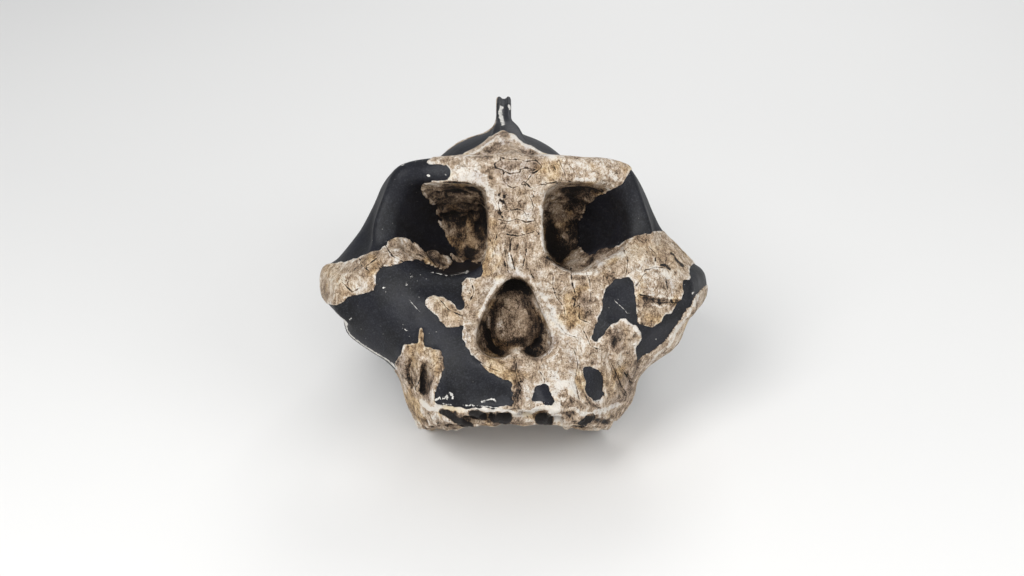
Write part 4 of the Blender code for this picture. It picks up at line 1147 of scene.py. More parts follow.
def crossed(u, w, lines):
    """Distance from the nearest of some thin lines, with a sign for its side, and its nearness."""
    signed, best = np.full(u.shape, 1e3), np.full(u.shape, 1e3)
    for points in lines:
        line = outline(points)
        for (ax, ay), (bx, by) in zip(line, line[1:]):
            dx, dy = bx - ax, by - ay
            t = np.clip(((u - ax) * dx + (w - ay) * dy) / (dx * dx + dy * dy), 0, 1)
            distance = np.hypot(u - ax - t * dx, w - ay - t * dy)
            side = np.where((u - ax) * dy > (w - ay) * dx, 1.0, -1.0)
            closer = distance < best
            best[closer] = distance[closer]
            signed[closer] = (side * distance)[closer]
    return signed, np.clip((LINE_REACH - best) / (LINE_FADE * LINE_REACH), 0, 1)


def fine_strokes(u, w):
    return stroked(np.zeros(u.shape), u, w, FINE_STROKES)


FINE_CHART = Chart(fine_strokes, CHART_LOW, CHART_HIGH, OUTLINE_STEP)


# How far a surface is turned to the viewpoint: where marks begin, where they are full
FACING = (-0.05, 0.3)
# Where marks and where the sockets and the nose end: distances back, given as negative
FACE_END = (-66, -58)
CAVITY_END = (-62, -56)
# Distance from the mouth of a socket or of the nose, and depth, over which it counts as deep
CAVITY_RIM = 3
CAVITY_DEPTH = (4, 14)
# Turns of the surface at which the pale edge of the filler, partly a painted highlight, starts and ends,
# the latter as negative
EDGE_TURN = (-0.12, 0.05)
EDGE_TURN_END = (-0.55, -0.25)
# Distances at which a spot is tested for being closed in, for the painted shade: in hollows, in crevices
HOLLOW_REACHES = (5.0, 12.0, 26.0)
CREVICE_REACHES = (0.9, 2.2)
# Depth at which a spot is tested for lying on an edge, for the painted highlight on the bone's edges and
# the wear on the filler's
EDGE_REACH = 1.4
# From the skull towards the viewpoint
TOWARD = -np.array([0, math.cos(VIEW_TILT), -math.sin(VIEW_TILT)])


def smooth(value, low, high):
    t = np.clip((value - low) / (high - low), 0, 1)
    return t * t * (3 - 2 * t)


def facing(p, n):
    """How much a spot of the surface is turned to the viewpoint, and lies in the front of the head."""
    return smooth(n @ TOWARD, *FACING) * smooth(-p[:, 1], *FACE_END)


def in_cavity(p):
    """How deep a spot lies in an eye socket or in the nose."""
    x, y, z = p.T
    u, w = seen(p)
    mouths = np.minimum(ORBIT_CHARTS[-1].at(u, w), ORBIT_CHARTS[1].at(u, w))
    mouths = np.minimum(mouths, NOSE_CHART.at(u, w))
    depth = y - FRONT_CHART.at(x, z)
    return smooth(-mouths, 0, CAVITY_RIM) * smooth(depth, *CAVITY_DEPTH) * smooth(-y, *CAVITY_END)


def nose_back(u, w):
    """The egg on the back wall of the nose, and the hollow round it."""
    middle, (across, up), height = NOSE_BACK
    moat_depth, moat_place, moat_width = NOSE_MOAT
    (middle_u, middle_w), = outline((middle,))
    ring = np.hypot((u - middle_u) / across, (w - middle_w) / up)
    within = NOSE_CHART.at(u, w) < 3
    egg = height * np.clip(1 - ring ** 4, 0, 1)
    moat = moat_depth * np.exp(-(((ring - moat_place) / moat_width) ** 2))
    return (egg - moat) * within


def bone_relief(p, n):
    """How far the bone's surface stands out of the smooth form."""
    x, y, z = p.T
    form = skull_field(p)
    cavity = in_cavity(p)
    gum = smooth(by_table(y, GUM) + GUM_REACH - z, 0, GUM_FADE) * smooth(-y, *CAVITY_END)
    total = GRAIN.layers(p, BONE_RELIEF) + cavity * GRAIN.layers(p, CAVITY_RELIEF)
    total += gum * GRAIN.layers(p, GUM_RELIEF)
    total += FINE_CHART.at(*seen(p)) * facing(p, n) * (1 - CAVITY_LOSS * cavity)
    total += nose_back(*seen(p)) * cavity * facing(p, n)
    return total * smooth(-np.abs(form), *SKIN)


def filler_relief(p, n):
    return GRAIN.layers(p, FILLER_RELIEF) * smooth(-np.abs(skull_field(p) + LEDGE), *SKIN)


def shaded(p, n, reaches, field):
    """How closed in a spot of the surface is, from 0 in the open to 1; painted shade is laid on from it."""
    shares = [1 - np.clip(field(p + n * reach) / reach, 0, 1) for reach in reaches]
    return sum(shares) / len(shares)


def feed(tree, socket, value):
    """Links a node's input to another node, or gives it a value of its own."""
    if isinstance(value, bpy.types.NodeSocket):
        tree.links.new(value, socket)
    else:
        socket.default_value = value


def added(tree, kind, inputs=None, **settings):
    """A new node with its settings, and with its inputs linked or set."""
    node = tree.nodes.new(kind)
    for name, value in settings.items():
        setattr(node, name, value)
    for key, value in (inputs or {}).items():
        feed(tree, node.inputs[key], value)
    return node


def surface_tree():
    """Node tree that turns the values stored on a net's points into a closed surface."""
    tree = bpy.data.node_groups.new("surface_of_net", "GeometryNodeTree")
    for name, kind in (
        ("Net", "NodeSocketGeometry"),
        ("Low Corner", "NodeSocketVector"),
        ("High Corner", "NodeSocketVector"),
        ("Spacing", "NodeSocketFloat"),
        ("Count X", "NodeSocketInt"),
        ("Count Y", "NodeSocketInt"),
        ("Count Z", "NodeSocketInt"),
        ("Material", "NodeSocketMaterial"),
    ):
        tree.interface.new_socket(name, in_out="INPUT", socket_type=kind)
    tree.interface.new_socket("Surface", in_out="OUTPUT", socket_type="NodeSocketGeometry")

    def add(kind, inputs=None, **settings):
        return added(tree, kind, inputs, **settings)

    def vector(operation, inputs):
        return add("ShaderNodeVectorMath", inputs, operation=operation).outputs

    given = add("NodeGroupInput").outputs
    place = add("GeometryNodeInputPosition").outputs[0]
    offset = vector("SUBTRACT", {0: place, 1: given["Low Corner"]})[0]
    per_cell = add("ShaderNodeMath", {0: 1.0, 1: given["Spacing"]}, operation="DIVIDE").outputs[0]
    cells = vector("SCALE", {0: offset, "Scale": per_cell})[0]
    whole = vector("FLOOR", {0: vector("ADD", {0: cells, 1: (0.5, 0.5, 0.5)})[0]})[0]
    layer = add("ShaderNodeMath", {0: given["Count X"], 1: given["Count Y"]},
                operation="MULTIPLY").outputs[0]
    strides = add("ShaderNodeCombineXYZ", {0: 1.0, 1: given["Count X"], 2: layer}).outputs[0]
    number = vector("DOT_PRODUCT", {0: whole, 1: strides})["Value"]
    index = add("FunctionNodeFloatToInt", {0: number}, rounding_mode="ROUND").outputs[0]
    stored = add("GeometryNodeInputNamedAttribute", {"Name": "density"}, data_type="FLOAT").outputs[0]
    taken = add("GeometryNodeSampleIndex", {"Geometry": given["Net"], "Value": stored, "Index": index},
                data_type="FLOAT", domain="POINT").outputs[0]
    cube = add("GeometryNodeVolumeCube", {
        "Density": taken, "Background": -1.0, "Min": given["Low Corner"], "Max": given["High Corner"],
        "Resolution X": given["Count X"], "Resolution Y": given["Count Y"],
        "Resolution Z": given["Count Z"],
    }).outputs[0]
    surface = add("GeometryNodeVolumeToMesh", {"Volume": cube, "Threshold": 0.0},
                  resolution_mode="GRID").outputs[0]
    island = add("GeometryNodeInputMeshIsland").outputs["Island Index"]
    size = add("GeometryNodeAccumulateField", {"Value": 1.0, "Group ID": island},
               data_type="FLOAT", domain="POINT").outputs["Total"]
    largest = add("GeometryNodeAttributeStatistic", {"Geometry": surface, "Attribute": size},
                  data_type="FLOAT", domain="POINT").outputs["Max"]
    small = add("FunctionNodeCompare", {0: size, 1: largest}, data_type="FLOAT", operation="LESS_THAN")
    kept = add("GeometryNodeDeleteGeometry", {"Geometry": surface, "Selection": small.outputs[0]},
               domain="POINT").outputs[0]
    rounded = add("GeometryNodeSetShadeSmooth", {"Geometry": kept}).outputs[0]
    real = add("GeometryNodeRealizeInstances", {"Geometry": rounded}).outputs[0]
    inputs = {"Geometry": real, "Material": given["Material"]}
    add("NodeGroupOutput", {0: add("GeometryNodeSetMaterial", inputs).outputs[0]})
    return tree


def linked(name, mesh):
    ob = bpy.data.objects.new(name, mesh)
    bpy.context.scene.collection.objects.link(ob)
    return ob


def evaluated_mesh(ob):
    """The object's mesh with its modifiers worked in; the object goes."""
    mesh = bpy.data.meshes.new_from_object(ob.evaluated_get(bpy.context.evaluated_depsgraph_get()))
    bpy.data.objects.remove(ob)
    return mesh


def surface_mesh(field, low, high, cell, material):
    """The closed surface where the field is zero, as a mesh in metres."""
    values, counts, top = sampled(field, low, high, cell)
    net = bpy.data.meshes.new("net")
    net.vertices.add(values.size)
    density = net.attributes.new("density", "FLOAT", "POINT")
    density.data.foreach_set("value", (-values).astype(np.float32).ravel())
    holder = linked("net", net)
    modifier = holder.modifiers.new("surface", "NODES")
    tree = bpy.data.node_groups.get("surface_of_net") or surface_tree()
    modifier.node_group = tree
    given = {
        "Low Corner": [v * MM for v in low],
        "High Corner": [v * MM for v in top],
        "Spacing": cell * MM,
        "Count X": counts[0],
        "Count Y": counts[1],
        "Count Z": counts[2],
        "Material": material,
    }
    for item in tree.interface.items_tree:
        if item.in_out == "INPUT" and item.name in given:
            modifier[item.identifier] = given[item.name]
    return evaluated_mesh(holder)


def thinned(mesh, most):
    """The mesh brought under a number of triangles, keeping what bends most."""
    mesh.calc_loop_triangles()
    holder = linked("thinned", mesh)
    modifier = holder.modifiers.new("fewer", "DECIMATE")
    modifier.ratio = min(1.0, most / len(mesh.loop_triangles))
    modifier.use_collapse_triangulate = True
    return evaluated_mesh(holder)


def points_and_normals(mesh):
    """Points in the skull's frame in millimetres, and unit normals."""
    p = np.empty(len(mesh.vertices) * 3, np.float32)
    n = np.empty(len(mesh.vertices) * 3, np.float32)
    mesh.vertices.foreach_get("co", p)
    mesh.vertex_normals.foreach_get("vector", n)
    return p.reshape(-1, 3).astype(float) / MM, n.reshape(-1, 3).astype(float)


def moved(mesh, p):
    mesh.vertices.foreach_set("co", (p * MM).astype(np.float32).ravel())
    mesh.update()


def stored(mesh, name, values):
    attribute = mesh.attributes.new(name, "FLOAT", "POINT")
    attribute.data.foreach_set("value", np.asarray(values, np.float32))


def bone_marks(mesh, name, field):
    """Stores on the mesh where the bone is stained, pale, porous and cracked, and where shade and
    highlights are painted on it.
    """
    p, n = points_and_normals(mesh)
    u, w = seen(p)
    front = facing(p, n)
    shaken = (u + SHAKE * GRAIN.at(p, SHAKE_SIZE), w + SHAKE * GRAIN.at(p[:, ::-1], SHAKE_SIZE))
    signed, near = crossed((u + shaken[0]) / 2, (w + shaken[1]) / 2, CRACKS)
    # Painted shade in recesses and crevices, darker where a spot is more closed in
    stored(mesh, "recess", shaded(p, n, HOLLOW_REACHES, skull_field))
    stored(mesh, "crevice", shaded(p, n, CREVICE_REACHES, field))
    # Painted highlight on the bone's convex edges
    stored(mesh, "edge", np.clip(1 + field(p - n * EDGE_REACH) / EDGE_REACH, 0, 1))
    # Painted shade deep in the eye sockets and the nose
    stored(mesh, "deep", in_cavity(p))
    # Painted highlight along the rims of the fragments
    stored(mesh, "rim", np.clip(1 + outline_of(name, p) / HIGHLIGHT_RIM_WIDTH, 0, 1))
    stored(mesh, "line", signed)
    stored(mesh, "line_near", near * front)
    for place, marks in PLACES.items():
        stored(mesh, place, marked(*shaken, marks) * front)


def filler_marks(mesh, name, field):
    """Stores on the mesh where the filler is chipped, scratched and worn, where its recesses get painted
    shade, and where a painted highlight runs along its outer edge.
    """
    p, n = points_and_normals(mesh)
    u, w = seen(p)
    front = facing(p, n)
    signed, near = crossed(u, w, SCRATCHES)
    # Painted shade in the filler's recesses
    stored(mesh, "recess", shaded(p, n, HOLLOW_REACHES, skull_field))
    stored(mesh, "edge", np.clip(1 + field(p - n * EDGE_REACH) / EDGE_REACH, 0, 1))
    stored(mesh, "line", signed)
    stored(mesh, "line_near", near * front)
    # Painted highlight, partly wear: a pale band where the filler turns away from the view along its outer
    # edge
    turned = smooth(n @ TOWARD, *EDGE_TURN) * smooth(-n @ TOWARD, *EDGE_TURN_END)
    behind = p[:, 1] - FRONT_CHART.at(p[:, 0], p[:, 2])
    worn_and_lit = marked(u, w, WORN_AND_LIT_EDGES) * turned * smooth(-behind, -WORN_AND_LIT_DEPTH, -0.5 * WORN_AND_LIT_DEPTH)
    stored(mesh, "chips", np.maximum(marked(u, w, CHIPS) * smooth(front, 0, 0.3), worn_and_lit))


def laid_down(mesh):
    """Turns and moves the mesh to where the skull lies, flat on the ground."""
    turn = Matrix.Rotation(-REST_TILT, 4, "X")
    mesh.transform(Matrix.Translation(REST_PLACE) @ turn)
    co = np.empty(len(mesh.vertices) * 3, np.float32)
    mesh.vertices.foreach_get("co", co)
    co[2::3] = np.maximum(co[2::3], 0)
    mesh.vertices.foreach_set("co", co)
    mesh.update()


def make_piece(name, cell, relief, marks, material):
    """Makes one piece as a fine mesh and puts it in the place of the plain solids."""
    field = piece_field(name)
    low, high = EXTENTS[name]
    mesh = surface_mesh(field, low, high, cell, material)
    p, n = points_and_normals(mesh)
    moved(mesh, p + n * relief(p, n)[:, None])
    mesh = thinned(mesh, MOST_TRIANGLES)
    marks(mesh, name, field)
    laid_down(mesh)
    mesh.name = name + "_fine"
    piece = linked(name + "_fine", mesh)
    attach(piece, "root")
    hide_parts(*STANDS_FOR.get(name, (name,)))


# Cloudy grains of the bone and of the filler: size in millimetres, detail, roughness
BONE_GRAINS = ((11.0, 4.0, 0.6), (3.6, 5.0, 0.66), (0.62, 3.0, 0.75))
FILLER_GRAINS = ((14.0, 3.0, 0.55), (3.2, 4.0, 0.6), (1.0, 3.0, 0.6))
# Level of the bone's tone before its marks
BONE_TONE = -1.585
# Gloss of the bone, of the filler and of the floor
BONE_GLOSS, FILLER_GLOSS, FLOOR_GLOSS = 0.35, 0.26, 0.2


class Finish:
    """A material whose nodes are added one after another."""

    def __init__(self, name):
        self.material = bpy.data.materials.new(name)
        self.material.use_nodes = True
        self.tree = self.material.node_tree
        self.shader = self.tree.nodes["Principled BSDF"]
        self.place = self.node("ShaderNodeTexCoord").outputs["Object"]

    def node(self, kind, inputs=None, **settings):
        return added(self.tree, kind, inputs, **settings)

    def math(self, operation, a, b=0.0):
        return self.node("ShaderNodeMath", {0: a, 1: b}, operation=operation).outputs[0]

    def total(self, base, *pairs):
        """A number or a node's value with the products of some pairs added to it."""
        for value, share in pairs:
            base = self.plus(base, self.times(value, share))
        return base

    def greatest(self, first, *others):
        for value in others:
            first = self.math("MAXIMUM", first, value)
        return first

    def times(self, a, b):
        return self.math("MULTIPLY", a, b)

    def plus(self, a, b):
        return self.math("ADD", a, b)

    def step(self, value, low, high):
        """A soft step from 0 at low to 1 at high; it falls where high is the lower."""
        inputs = {"Value": value, "From Min": low, "From Max": high}
        return self.node("ShaderNodeMapRange", inputs, interpolation_type="SMOOTHSTEP").outputs["Result"]

    def mixed(self, share, first, second, blend="MIX"):
        inputs = {"Factor": share, "A": first, "B": second}
        made = self.node("ShaderNodeMix", data_type="RGBA", blend_type=blend, clamp_factor=True)
        for socket in made.inputs:
            if socket.name in inputs and socket.enabled:
                feed(self.tree, socket, inputs[socket.name])
        return next(s for s in made.outputs if s.enabled)

    def mark(self, name):
        return self.node("ShaderNodeAttribute", attribute_name=name).outputs["Fac"]

    def grain(self, size, detail=3.0, rough=0.55, place=None, warp=0.0):
        """Cloudy noise whose lumps are about the given size in millimetres."""
        inputs = {
            "Vector": place or self.place,
            "Scale": 1 / (size * MM),
            "Detail": detail,
            "Roughness": rough,
            "Distortion": warp,
        }
        return self.node("ShaderNodeTexNoise", inputs).outputs["Fac"]

    def patches(self, size, low, high, rough=0.55, warp=0.0, detail=2.0):
        """Soft patches where noise of that size is high: 0 below low, 1 above high."""
        return self.step(self.grain(size, detail, rough, None, warp), low, high)

    def drawn_out(self, place, turn, scale):
        """The place, turned and squeezed, so that a pattern on it is drawn out along one way."""
        inputs = {"Vector": place, "Rotation": turn, "Scale": scale}
        return self.node("ShaderNodeMapping", inputs).outputs[0]

    def warped(self, size, by):
        """The place, shifted about by noise of that size, by up to some millimetres."""
        inputs = {"Vector": self.place, "Scale": 1 / (size * MM), "Detail": 2.0}
        noise = self.node("ShaderNodeTexNoise", inputs).outputs["Color"]
        middle = self.node("ShaderNodeVectorMath", {0: noise, 1: (0.5, 0.5, 0.5)}, operation="SUBTRACT")
        inputs = {0: middle.outputs[0], 1: (2 * by * MM,) * 3, 2: self.place}
        return self.node("ShaderNodeVectorMath", inputs, operation="MULTIPLY_ADD").outputs[0]

    def veins(self, size, width, place):
        """Thin lines between cells of the given size in millimetres, 1 on a line."""
        inputs = {"Vector": place, "Scale": 1 / (size * MM)}
        edge = self.node("ShaderNodeTexVoronoi", inputs, feature="DISTANCE_TO_EDGE").outputs["Distance"]
        return self.step(edge, width / size, 0.0)

    def threads(self, size, width):
        """Thin wandering lines, 1 on a line."""
        off_line = self.math("ABSOLUTE", self.math("SUBTRACT", self.grain(size, 3.0), 0.5))
        return self.step(off_line, width, 0.0)

    def ramp(self, value, stops):
        """Colours that follow each other along a value."""
        made = self.node("ShaderNodeValToRGB", {"Fac": value})
        elements = made.color_ramp.elements
        for at, colour in stops[2:]:
            elements.new(at)
        for element, (at, colour) in zip(elements, stops):
            element.position = at
            element.color = with_alpha(colour)
        return made.outputs["Color"]

    def dots(self, size, radius, place, share):
        """Small round dots, one in some of the cells of the given size in millimetres."""
        inputs = {"Vector": place, "Scale": 1 / (size * MM)}
        cell = self.node("ShaderNodeTexVoronoi", inputs, feature="F1").outputs
        chance = self.node("ShaderNodeSeparateColor", {0: cell["Color"]}).outputs
        reach = self.times(self.plus(chance[1], 0.3), radius / size)
        inside = self.step(self.math("SUBTRACT", reach, cell["Distance"]), 0.0, 0.08)
        return self.times(inside, self.math("LESS_THAN", chance[0], share))

    def finished(self, colour, roughness, height):
        inputs = {"Height": height, "Distance": MM, "Strength": 1.0}
        bump = self.node("ShaderNodeBump", inputs).outputs[0]
        for key, value in (("Base Color", colour), ("Roughness", roughness), ("Normal", bump)):
            self.tree.links.new(value, self.shader.inputs[key])
        return self.material


def with_alpha(colour):
    return (*colour, 1.0)


def bone_finish(settings):
    """Old bone: cream to brown, veined with cracks and pitted, with painted shade in its hollows and
    painted highlights on its edges.
    """
    f = Finish("fossil_bone_finish")
    broad, middle, fine = (f.grain(*numbers) for numbers in BONE_GRAINS)
    along = f.drawn_out(f.warped(9.0, 2.8), (REST_TILT, 0.35, 0.2), (1.0, 0.45, 0.18))
    fibres = f.grain(0.85, 4.0, 0.7, along, 0.5)
    shaky = f.warped(2.2, 1.1)

    open_cells = f.times(f.veins(7.0, 0.20, shaky), f.patches(8.0, 0.46, 0.58))
    small_cells = f.times(f.veins(2.9, 0.15, shaky), f.patches(5.0, 0.46, 0.62, 0.5, 1.0))
    threads = f.times(f.threads(4.2, 0.014), f.patches(6.0, 0.48, 0.60))
    veins = f.greatest(f.times(open_cells, 0.8), small_cells, threads)
    pores = f.mark("pores")
    chance = f.total(0.0, (f.patches(7.0, 0.48, 0.66, 0.5, 0.7), 0.35), (pores, 0.5))
    large_pits = f.dots(2.8, 0.52, shaky, f.times(chance, 0.5))
    pits = f.greatest(f.dots(1.5, 0.30, shaky, chance), large_pits)
    speck_chance = f.total(0.05, (f.patches(5.0, 0.44, 0.62, detail=3.0), 0.36))
    specks = f.dots(0.95, 0.26, shaky, speck_chance)

    crack_width = f.times(f.patches(2.4, 0.38, 0.70), 0.34)
    line = f.math("SUBTRACT", f.math("ABSOLUTE", f.mark("line")), crack_width)
    line_near = f.mark("line_near")
    broken = f.step(f.grain(2.9, 2.0, 0.5, shaky), 0.36, 0.50)
    crack = f.times(f.times(f.step(line, 0.12, -0.06), line_near), broken)
    lip = f.times(f.times(f.step(line, 0.85, 0.35), f.step(line, 0.1, 0.3)), line_near)
    # Painted highlight on the bone's convex edges
    edge = f.step(f.total(f.mark("edge"), (middle, 0.3)), 0.42, 0.85)
    # Painted highlight along the rims of the fragments
    rim = f.step(f.total(f.mark("rim"), (middle, 0.9)), 0.78, 1.25)

    pale, hollow, stain, shade_in_cavity = (f.mark(name) for name in ("pale", "hollow", "stain", "deep"))
    torn = f.total(-1.3, (middle, 1.4), (fine, 1.2))
    # Near white where the pale bone and the painted highlights are strong
    white = f.step(f.plus(pale, torn), 0.42, 0.62)
    # Painted shade: near black where the hollow shade is strongest
    black = f.step(f.plus(hollow, torn), 0.72, 0.90)
    # Calmer mottling deep in the cavities, where the tone below also lays on painted shade
    calmed = f.total(0.33, (middle, -0.75))
    # The tone holds painted light and shade: painted shade deep in the cavities, in recesses, crevices and
    # hollows, and painted light on the cavity walls, edges, fragment rims and some pale places; the rest is
    # the bone's own grain, stains, pores, pits, veins and cracks
    tone = f.total(
        BONE_TONE,
        (broad, 1.0), (middle, 1.35), (fine, 1.0), (fibres, 1.0),
        (f.step(shade_in_cavity, 0.2, 0.8), calmed), (shade_in_cavity, -0.24), (f.mark("glow"), 0.34),
        (pale, 0.16), (white, 0.26), (edge, 0.14), (rim, 0.22), (lip, 0.14),
        (stain, -0.19), (hollow, -0.20), (black, -0.60), (f.step(f.mark("recess"), 0.25, 0.95), -0.26),
        (f.step(f.mark("crevice"), 0.15, 0.8), -0.28), (pores, -0.04), (pits, -0.36),
        (specks, -0.32), (veins, -0.26), (crack, -0.52),
    )
    colour = f.ramp(tone, (
        (0.08, settings.bone_dark), (0.30, settings.bone_brown), (0.52, settings.bone_tan),
        (0.70, settings.bone_light), (0.90, settings.bone_white_and_highlight),
    ))
    golden = f.greatest(f.mark("golden"), f.patches(15.0, 0.54, 0.68))
    colour = f.mixed(f.times(golden, 0.75), colour, with_alpha(settings.bone_golden), "MULTIPLY")
    grey = f.step(f.total(f.grain(7.0, 2.0, 0.5, None, 0.5), (stain, 0.5)), 0.52, 0.80)
    colour = f.mixed(f.times(grey, 0.7), colour, with_alpha(settings.bone_grey), "MULTIPLY")

    height = f.total(
        0.0, (middle, 0.9), (fine, 1.0), (fibres, 0.7),
        (veins, -0.40), (pits, -0.50), (specks, -0.25), (crack, -0.90),
    )
    f.shader.inputs["Specular IOR Level"].default_value = BONE_GLOSS
    return f.finished(colour, f.total(0.50, (middle, 0.3)), height)


def filler_finish(settings):
    """Dark satin filler: blue black, scratched and specked, white where it is chipped, with painted shade
    in its recesses and a painted highlight along its outer edge.
    """
    f = Finish("dark_filler_finish")
    colours = (settings.filler_dark, settings.filler_blue, settings.filler_worn, settings.chip_and_highlight_white)
    dark, blue, worn, white = (with_alpha(colour) for colour in colours)
    broad, middle, fine = (f.grain(*numbers) for numbers in FILLER_GRAINS)
    shaky = f.warped(1.6, 0.8)

    hair = f.grain(1.6, 1.0, 0.5, f.drawn_out(f.place, (REST_TILT, 0.5, 0.4), (1.0, 0.1, 0.1)))
    hairlines = f.step(f.math("ABSOLUTE", f.math("SUBTRACT", hair, 0.5)), 0.008, 0.001)
    hairlines = f.times(hairlines, f.patches(9.0, 0.50, 0.64))
    # Chips, together with the painted highlight along the outer edge
    chips = f.mark("chips")
    chipped_and_edge_lit = f.step(f.total(chips, (f.grain(1.6, 3.0, 0.7), 1.3), (fine, 0.5)), 1.56, 1.70)
    specks = f.dots(3.6, 0.34, shaky, f.total(0.035, (chips, 0.75)))
    dust = f.times(f.dots(1.5, 0.24, shaky, 0.26), f.patches(12.0, 0.45, 0.60))
    powder = f.patches(0.8, 0.47, 0.70, 0.8)
    line = f.math("ABSOLUTE", f.mark("line"))
    scratch = f.times(f.step(line, 0.20, 0.06), f.times(f.mark("line_near"), f.step(fine, 0.36, 0.52)))
    edge = f.step(f.total(f.mark("edge"), (fine, 0.35)), 0.50, 0.80)
    bare_and_edge_lit = f.greatest(specks, chipped_and_edge_lit, scratch)

    colour = f.mixed(f.step(broad, 0.3, 0.7), dark, blue)
    # Worn greys, painted shade in the recesses, powder and dust, then white chips with the painted
    # highlight along the outer edge
    for share, tint in (
        (f.times(f.step(middle, 0.5, 0.75), 0.35), worn), (f.times(hairlines, 0.35), worn),
        (f.times(edge, 0.45), worn), (f.times(f.step(f.mark("recess"), 0.2, 0.8), 0.7), dark),
        (f.times(powder, 0.60), worn), (f.times(dust, 0.32), white),
        (f.times(bare_and_edge_lit, f.total(0.25, (middle, 0.9))), white),
    ):
        colour = f.mixed(share, colour, tint)

    height = f.total(0.0, (middle, 0.14), (fine, 0.07), (bare_and_edge_lit, -0.12), (hairlines, -0.05))
    f.shader.inputs["Specular IOR Level"].default_value = FILLER_GLOSS
    return f.finished(colour, f.total(0.40, (middle, 0.22), (bare_and_edge_lit, 0.2)), height)


def floor_finish(settings):
    """Pale painted board with a faint grain."""
    f = Finish("studio_floor_finish")
    soft, fine = f.grain(300.0, 2.0), f.grain(2.0, 2.0)
    colour = f.mixed(f.times(soft, 0.25), with_alpha(settings.floor_pale), with_alpha(settings.floor_shade))
    f.shader.inputs["Specular IOR Level"].default_value = FLOOR_GLOSS
    return f.finished(colour, f.total(0.7, (fine, 0.1)), f.times(fine, 0.02))


def named_finish(name, make):
    return bpy.data.materials.get(name) or make(bpy.context.scene.fossil_skull)


def make_bone(name):
    settings = bpy.context.scene.fossil_skull
    material = named_finish("fossil_bone_finish", bone_finish)
    make_piece(name, settings.bone_net / MM, bone_relief, bone_marks, material)


def make_filler(name):
    settings = bpy.context.scene.fossil_skull
    material = named_finish("dark_filler_finish", filler_finish)
    make_piece(name, settings.filler_net / MM, filler_relief, filler_marks, material)


def colour_setting(name, description, default):
    return FloatVectorProperty(
        name=name, description=description, default=default, size=3, min=0.0, max=1.0, subtype="COLOR"
    )


def power_setting(name, description, default):
    return FloatProperty(name=name, description=description, default=default, min=0.0, unit="POWER")


def net_setting(name, description, fine):
    default = fine * MM
    return FloatProperty(
        name=name, description=description, default=default, min=0.5 * MM, max=3 * MM, unit="LENGTH"
    )


class FossilSkullSettings(bpy.types.PropertyGroup):
    """Sizes and colours of the skull and its studio."""

    bone_net: net_setting("Bone Net", "Spacing of the net that the bone is read from", 0.78)
    filler_net: net_setting("Filler Net", "Spacing of the net that the filler is read from", 0.95)
    bone_light: colour_setting("Bone Light", "Cream of the clean bone", (0.68, 0.55, 0.42))
    bone_tan: colour_setting("Bone Tan", "Tan of the common bone", (0.46, 0.335, 0.225))
    bone_brown: colour_setting("Bone Brown", "Brown of the stained bone", (0.17, 0.112, 0.072))
    bone_dark: colour_setting("Bone Dark", "Dark of pits and cracks", (0.010, 0.007, 0.006))
    # Top of the bone's colours: pale bone, and the painted highlights on its edges and rims
    bone_white_and_highlight: colour_setting("Bone White", "Near white of worn edges", (0.88, 0.82, 0.74))
    bone_golden: colour_setting("Bone Golden", "Tint of the golden places", (1.0, 0.86, 0.58))
    bone_grey: colour_setting("Bone Grey", "Tint of the greyer places", (0.80, 0.80, 0.86))
    filler_dark: colour_setting("Filler Dark", "Black of the filler", (0.0045, 0.0045, 0.0055))
    filler_blue: colour_setting("Filler Blue", "Blue black of the filler", (0.0080, 0.0084, 0.0130))
    filler_worn: colour_setting("Filler Worn", "Grey of rubbed filler", (0.030, 0.031, 0.037))
    # White of the chips and of the painted highlight along the filler's outer edge
    chip_and_highlight_white: colour_setting("Chip White", "White of chips in the filler", (0.84, 0.81, 0.75))
    floor_pale: colour_setting("Floor Pale", "Colour of the floor", (0.80, 0.79, 0.77))
    floor_shade: colour_setting("Floor Shade", "Second colour of the floor", (0.72, 0.71, 0.70))
    key_power: power_setting("Key Light", "Power of the main light", 9.5)
    fill_power: power_setting("Fill Light", "Power of the light on the other side", 3.5)
    front_power: power_setting("Front Light", "Power of the light by the camera", 3.0)
    back_power: power_setting("Back Light", "Power of the light behind", 5.0)


class SKULL_OT_face_bone(bpy.types.Operator):
    """Make the middle of the face with the brow, the nose, one cheek and the tooth row"""

    bl_idname = "skull.face_bone"
    bl_label = "Face Bone"

    def execute(self, context):
        make_bone("face_bone")
        return {"FINISHED"}


class SKULL_OT_small_bones(bpy.types.Operator):
    """Make the cheekbone and the two fragments of the braincase"""

    bl_idname = "skull.small_bones"
    bl_label = "Small Bones"

    def execute(self, context):
        for name in BONES[1:]:
            make_bone(name)
        return {"FINISHED"}


class SKULL_OT_filler(bpy.types.Operator):
    """Make the dark filler that completes the head"""

    bl_idname = "skull.filler"
    bl_label = "Filler"

    def execute(self, context):
        make_filler("filler")
        return {"FINISHED"}


class SKULL_OT_patches(bpy.types.Operator):
    """Make the two small patches of filler in the tooth row"""

    bl_idname = "skull.patches"
    bl_label = "Small Patches"

    def execute(self, context):
        for name in PATCHES:
            make_filler(name)
        return {"FINISHED"}


FLOOR_SIDE = 6.0
# Lights: place in metres, size, and the setting that holds the power
LIGHTS = (
    ("key_light", (-0.55, -0.75, 0.95), 0.55, "key_power"),
    ("fill_light", (0.85, -0.60, 0.60), 0.70, "fill_power"),
    ("front_light", (0.10, -0.85, 0.62), 0.45, "front_power"),
    ("back_light", (0.25, 0.95, 0.90), 0.60, "back_power"),
)
LIGHT_TARGET = (0.0, 0.0, 0.06)
SKY_COLOUR = (0.86, 0.89, 0.93)
SKY_STRENGTH = 0.45


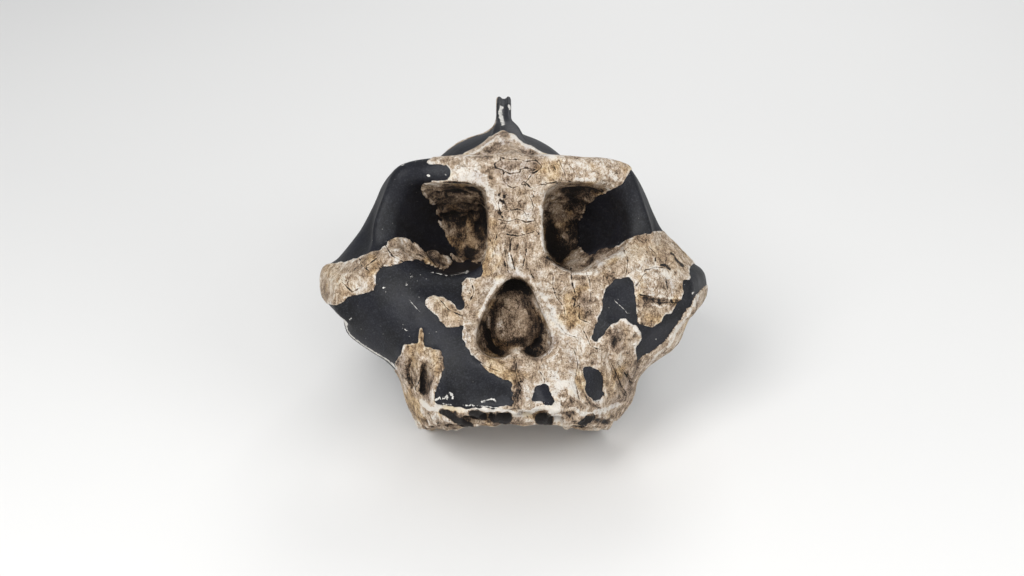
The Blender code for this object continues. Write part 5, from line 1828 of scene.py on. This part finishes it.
def make_floor():
    bm = bmesh.new()
    bmesh.ops.create_grid(bm, x_segments=8, y_segments=8, size=FLOOR_SIDE / 2)
    mesh = bpy.data.meshes.new("studio_floor")
    bm.to_mesh(mesh)
    bm.free()
    mesh.materials.append(named_finish("studio_floor_finish", floor_finish))
    linked("studio_floor", mesh)


def make_lights():
    settings = bpy.context.scene.fossil_skull
    for name, place, size, power in LIGHTS:
        lamp = bpy.data.lights.new(name, "AREA")
        lamp.energy = getattr(settings, power)
        lamp.shape = "SQUARE"
        lamp.size = size
        ob = bpy.data.objects.new(name, lamp)
        bpy.context.scene.collection.objects.link(ob)
        ob.location = place
        ob.rotation_mode = "QUATERNION"
        ob.rotation_quaternion = (Vector(place) - Vector(LIGHT_TARGET)).to_track_quat("Z", "Y")
    world = bpy.data.worlds.new("studio")
    world.use_nodes = True
    background = world.node_tree.nodes["Background"]
    background.inputs["Color"].default_value = with_alpha(SKY_COLOUR)
    background.inputs["Strength"].default_value = SKY_STRENGTH
    bpy.context.scene.world = world
    bpy.context.scene.view_settings.view_transform = "Standard"


def make_camera():
    """A camera at the viewpoint that the outlines are measured from."""
    turn = Matrix.Rotation(-REST_TILT, 4, "X")
    target = Matrix.Translation(REST_PLACE) @ turn @ Vector(VIEW_CENTRE * MM)
    climb = REST_TILT + VIEW_TILT
    back = Vector((0, -math.cos(climb), math.sin(climb)))
    lens = bpy.data.cameras.new("viewpoint")
    lens.lens = 50.0
    lens.sensor_width = 36.0
    lens.clip_start = 0.01
    camera = bpy.data.objects.new("viewpoint", lens)
    bpy.context.scene.collection.objects.link(camera)
    camera.location = target + back * VIEW_DISTANCE * MM
    camera.rotation_mode = "QUATERNION"
    camera.rotation_quaternion = back.to_track_quat("Z", "Y")
    bpy.context.scene.camera = camera


class SKULL_OT_stage(bpy.types.Operator):
    """Make the floor, the lights and the camera"""

    bl_idname = "skull.stage"
    bl_label = "Studio"

    def execute(self, context):
        make_floor()
        make_lights()
        make_camera()
        return {"FINISHED"}


class SKULL_PT_panel(bpy.types.Panel):
    """Makes the skull piece by piece."""

    bl_idname = "SKULL_PT_panel"
    bl_label = "Fossil Skull"
    bl_space_type = "VIEW_3D"
    bl_region_type = "UI"
    bl_category = "Fossil Skull"

    def draw(self, context):
        for operator in OPERATORS:
            self.layout.operator(operator.bl_idname)
        for name in FossilSkullSettings.__annotations__:
            self.layout.prop(context.scene.fossil_skull, name)


OPERATORS = (
    SKULL_OT_face_bone, SKULL_OT_small_bones, SKULL_OT_filler, SKULL_OT_patches, SKULL_OT_stage,
)
CLASSES = (FossilSkullSettings, *OPERATORS, SKULL_PT_panel)


def register():
    for one in CLASSES:
        bpy.utils.register_class(one)
    bpy.types.Scene.fossil_skull = PointerProperty(type=FossilSkullSettings)


def unregister():
    del bpy.types.Scene.fossil_skull
    for one in reversed(CLASSES):
        bpy.utils.unregister_class(one)


def main():
    register()
    bpy.ops.skull.face_bone()
    bpy.ops.skull.small_bones()
    bpy.ops.skull.filler()
    bpy.ops.skull.patches()
    bpy.ops.skull.stage()


if __name__ == "__main__":
    main()
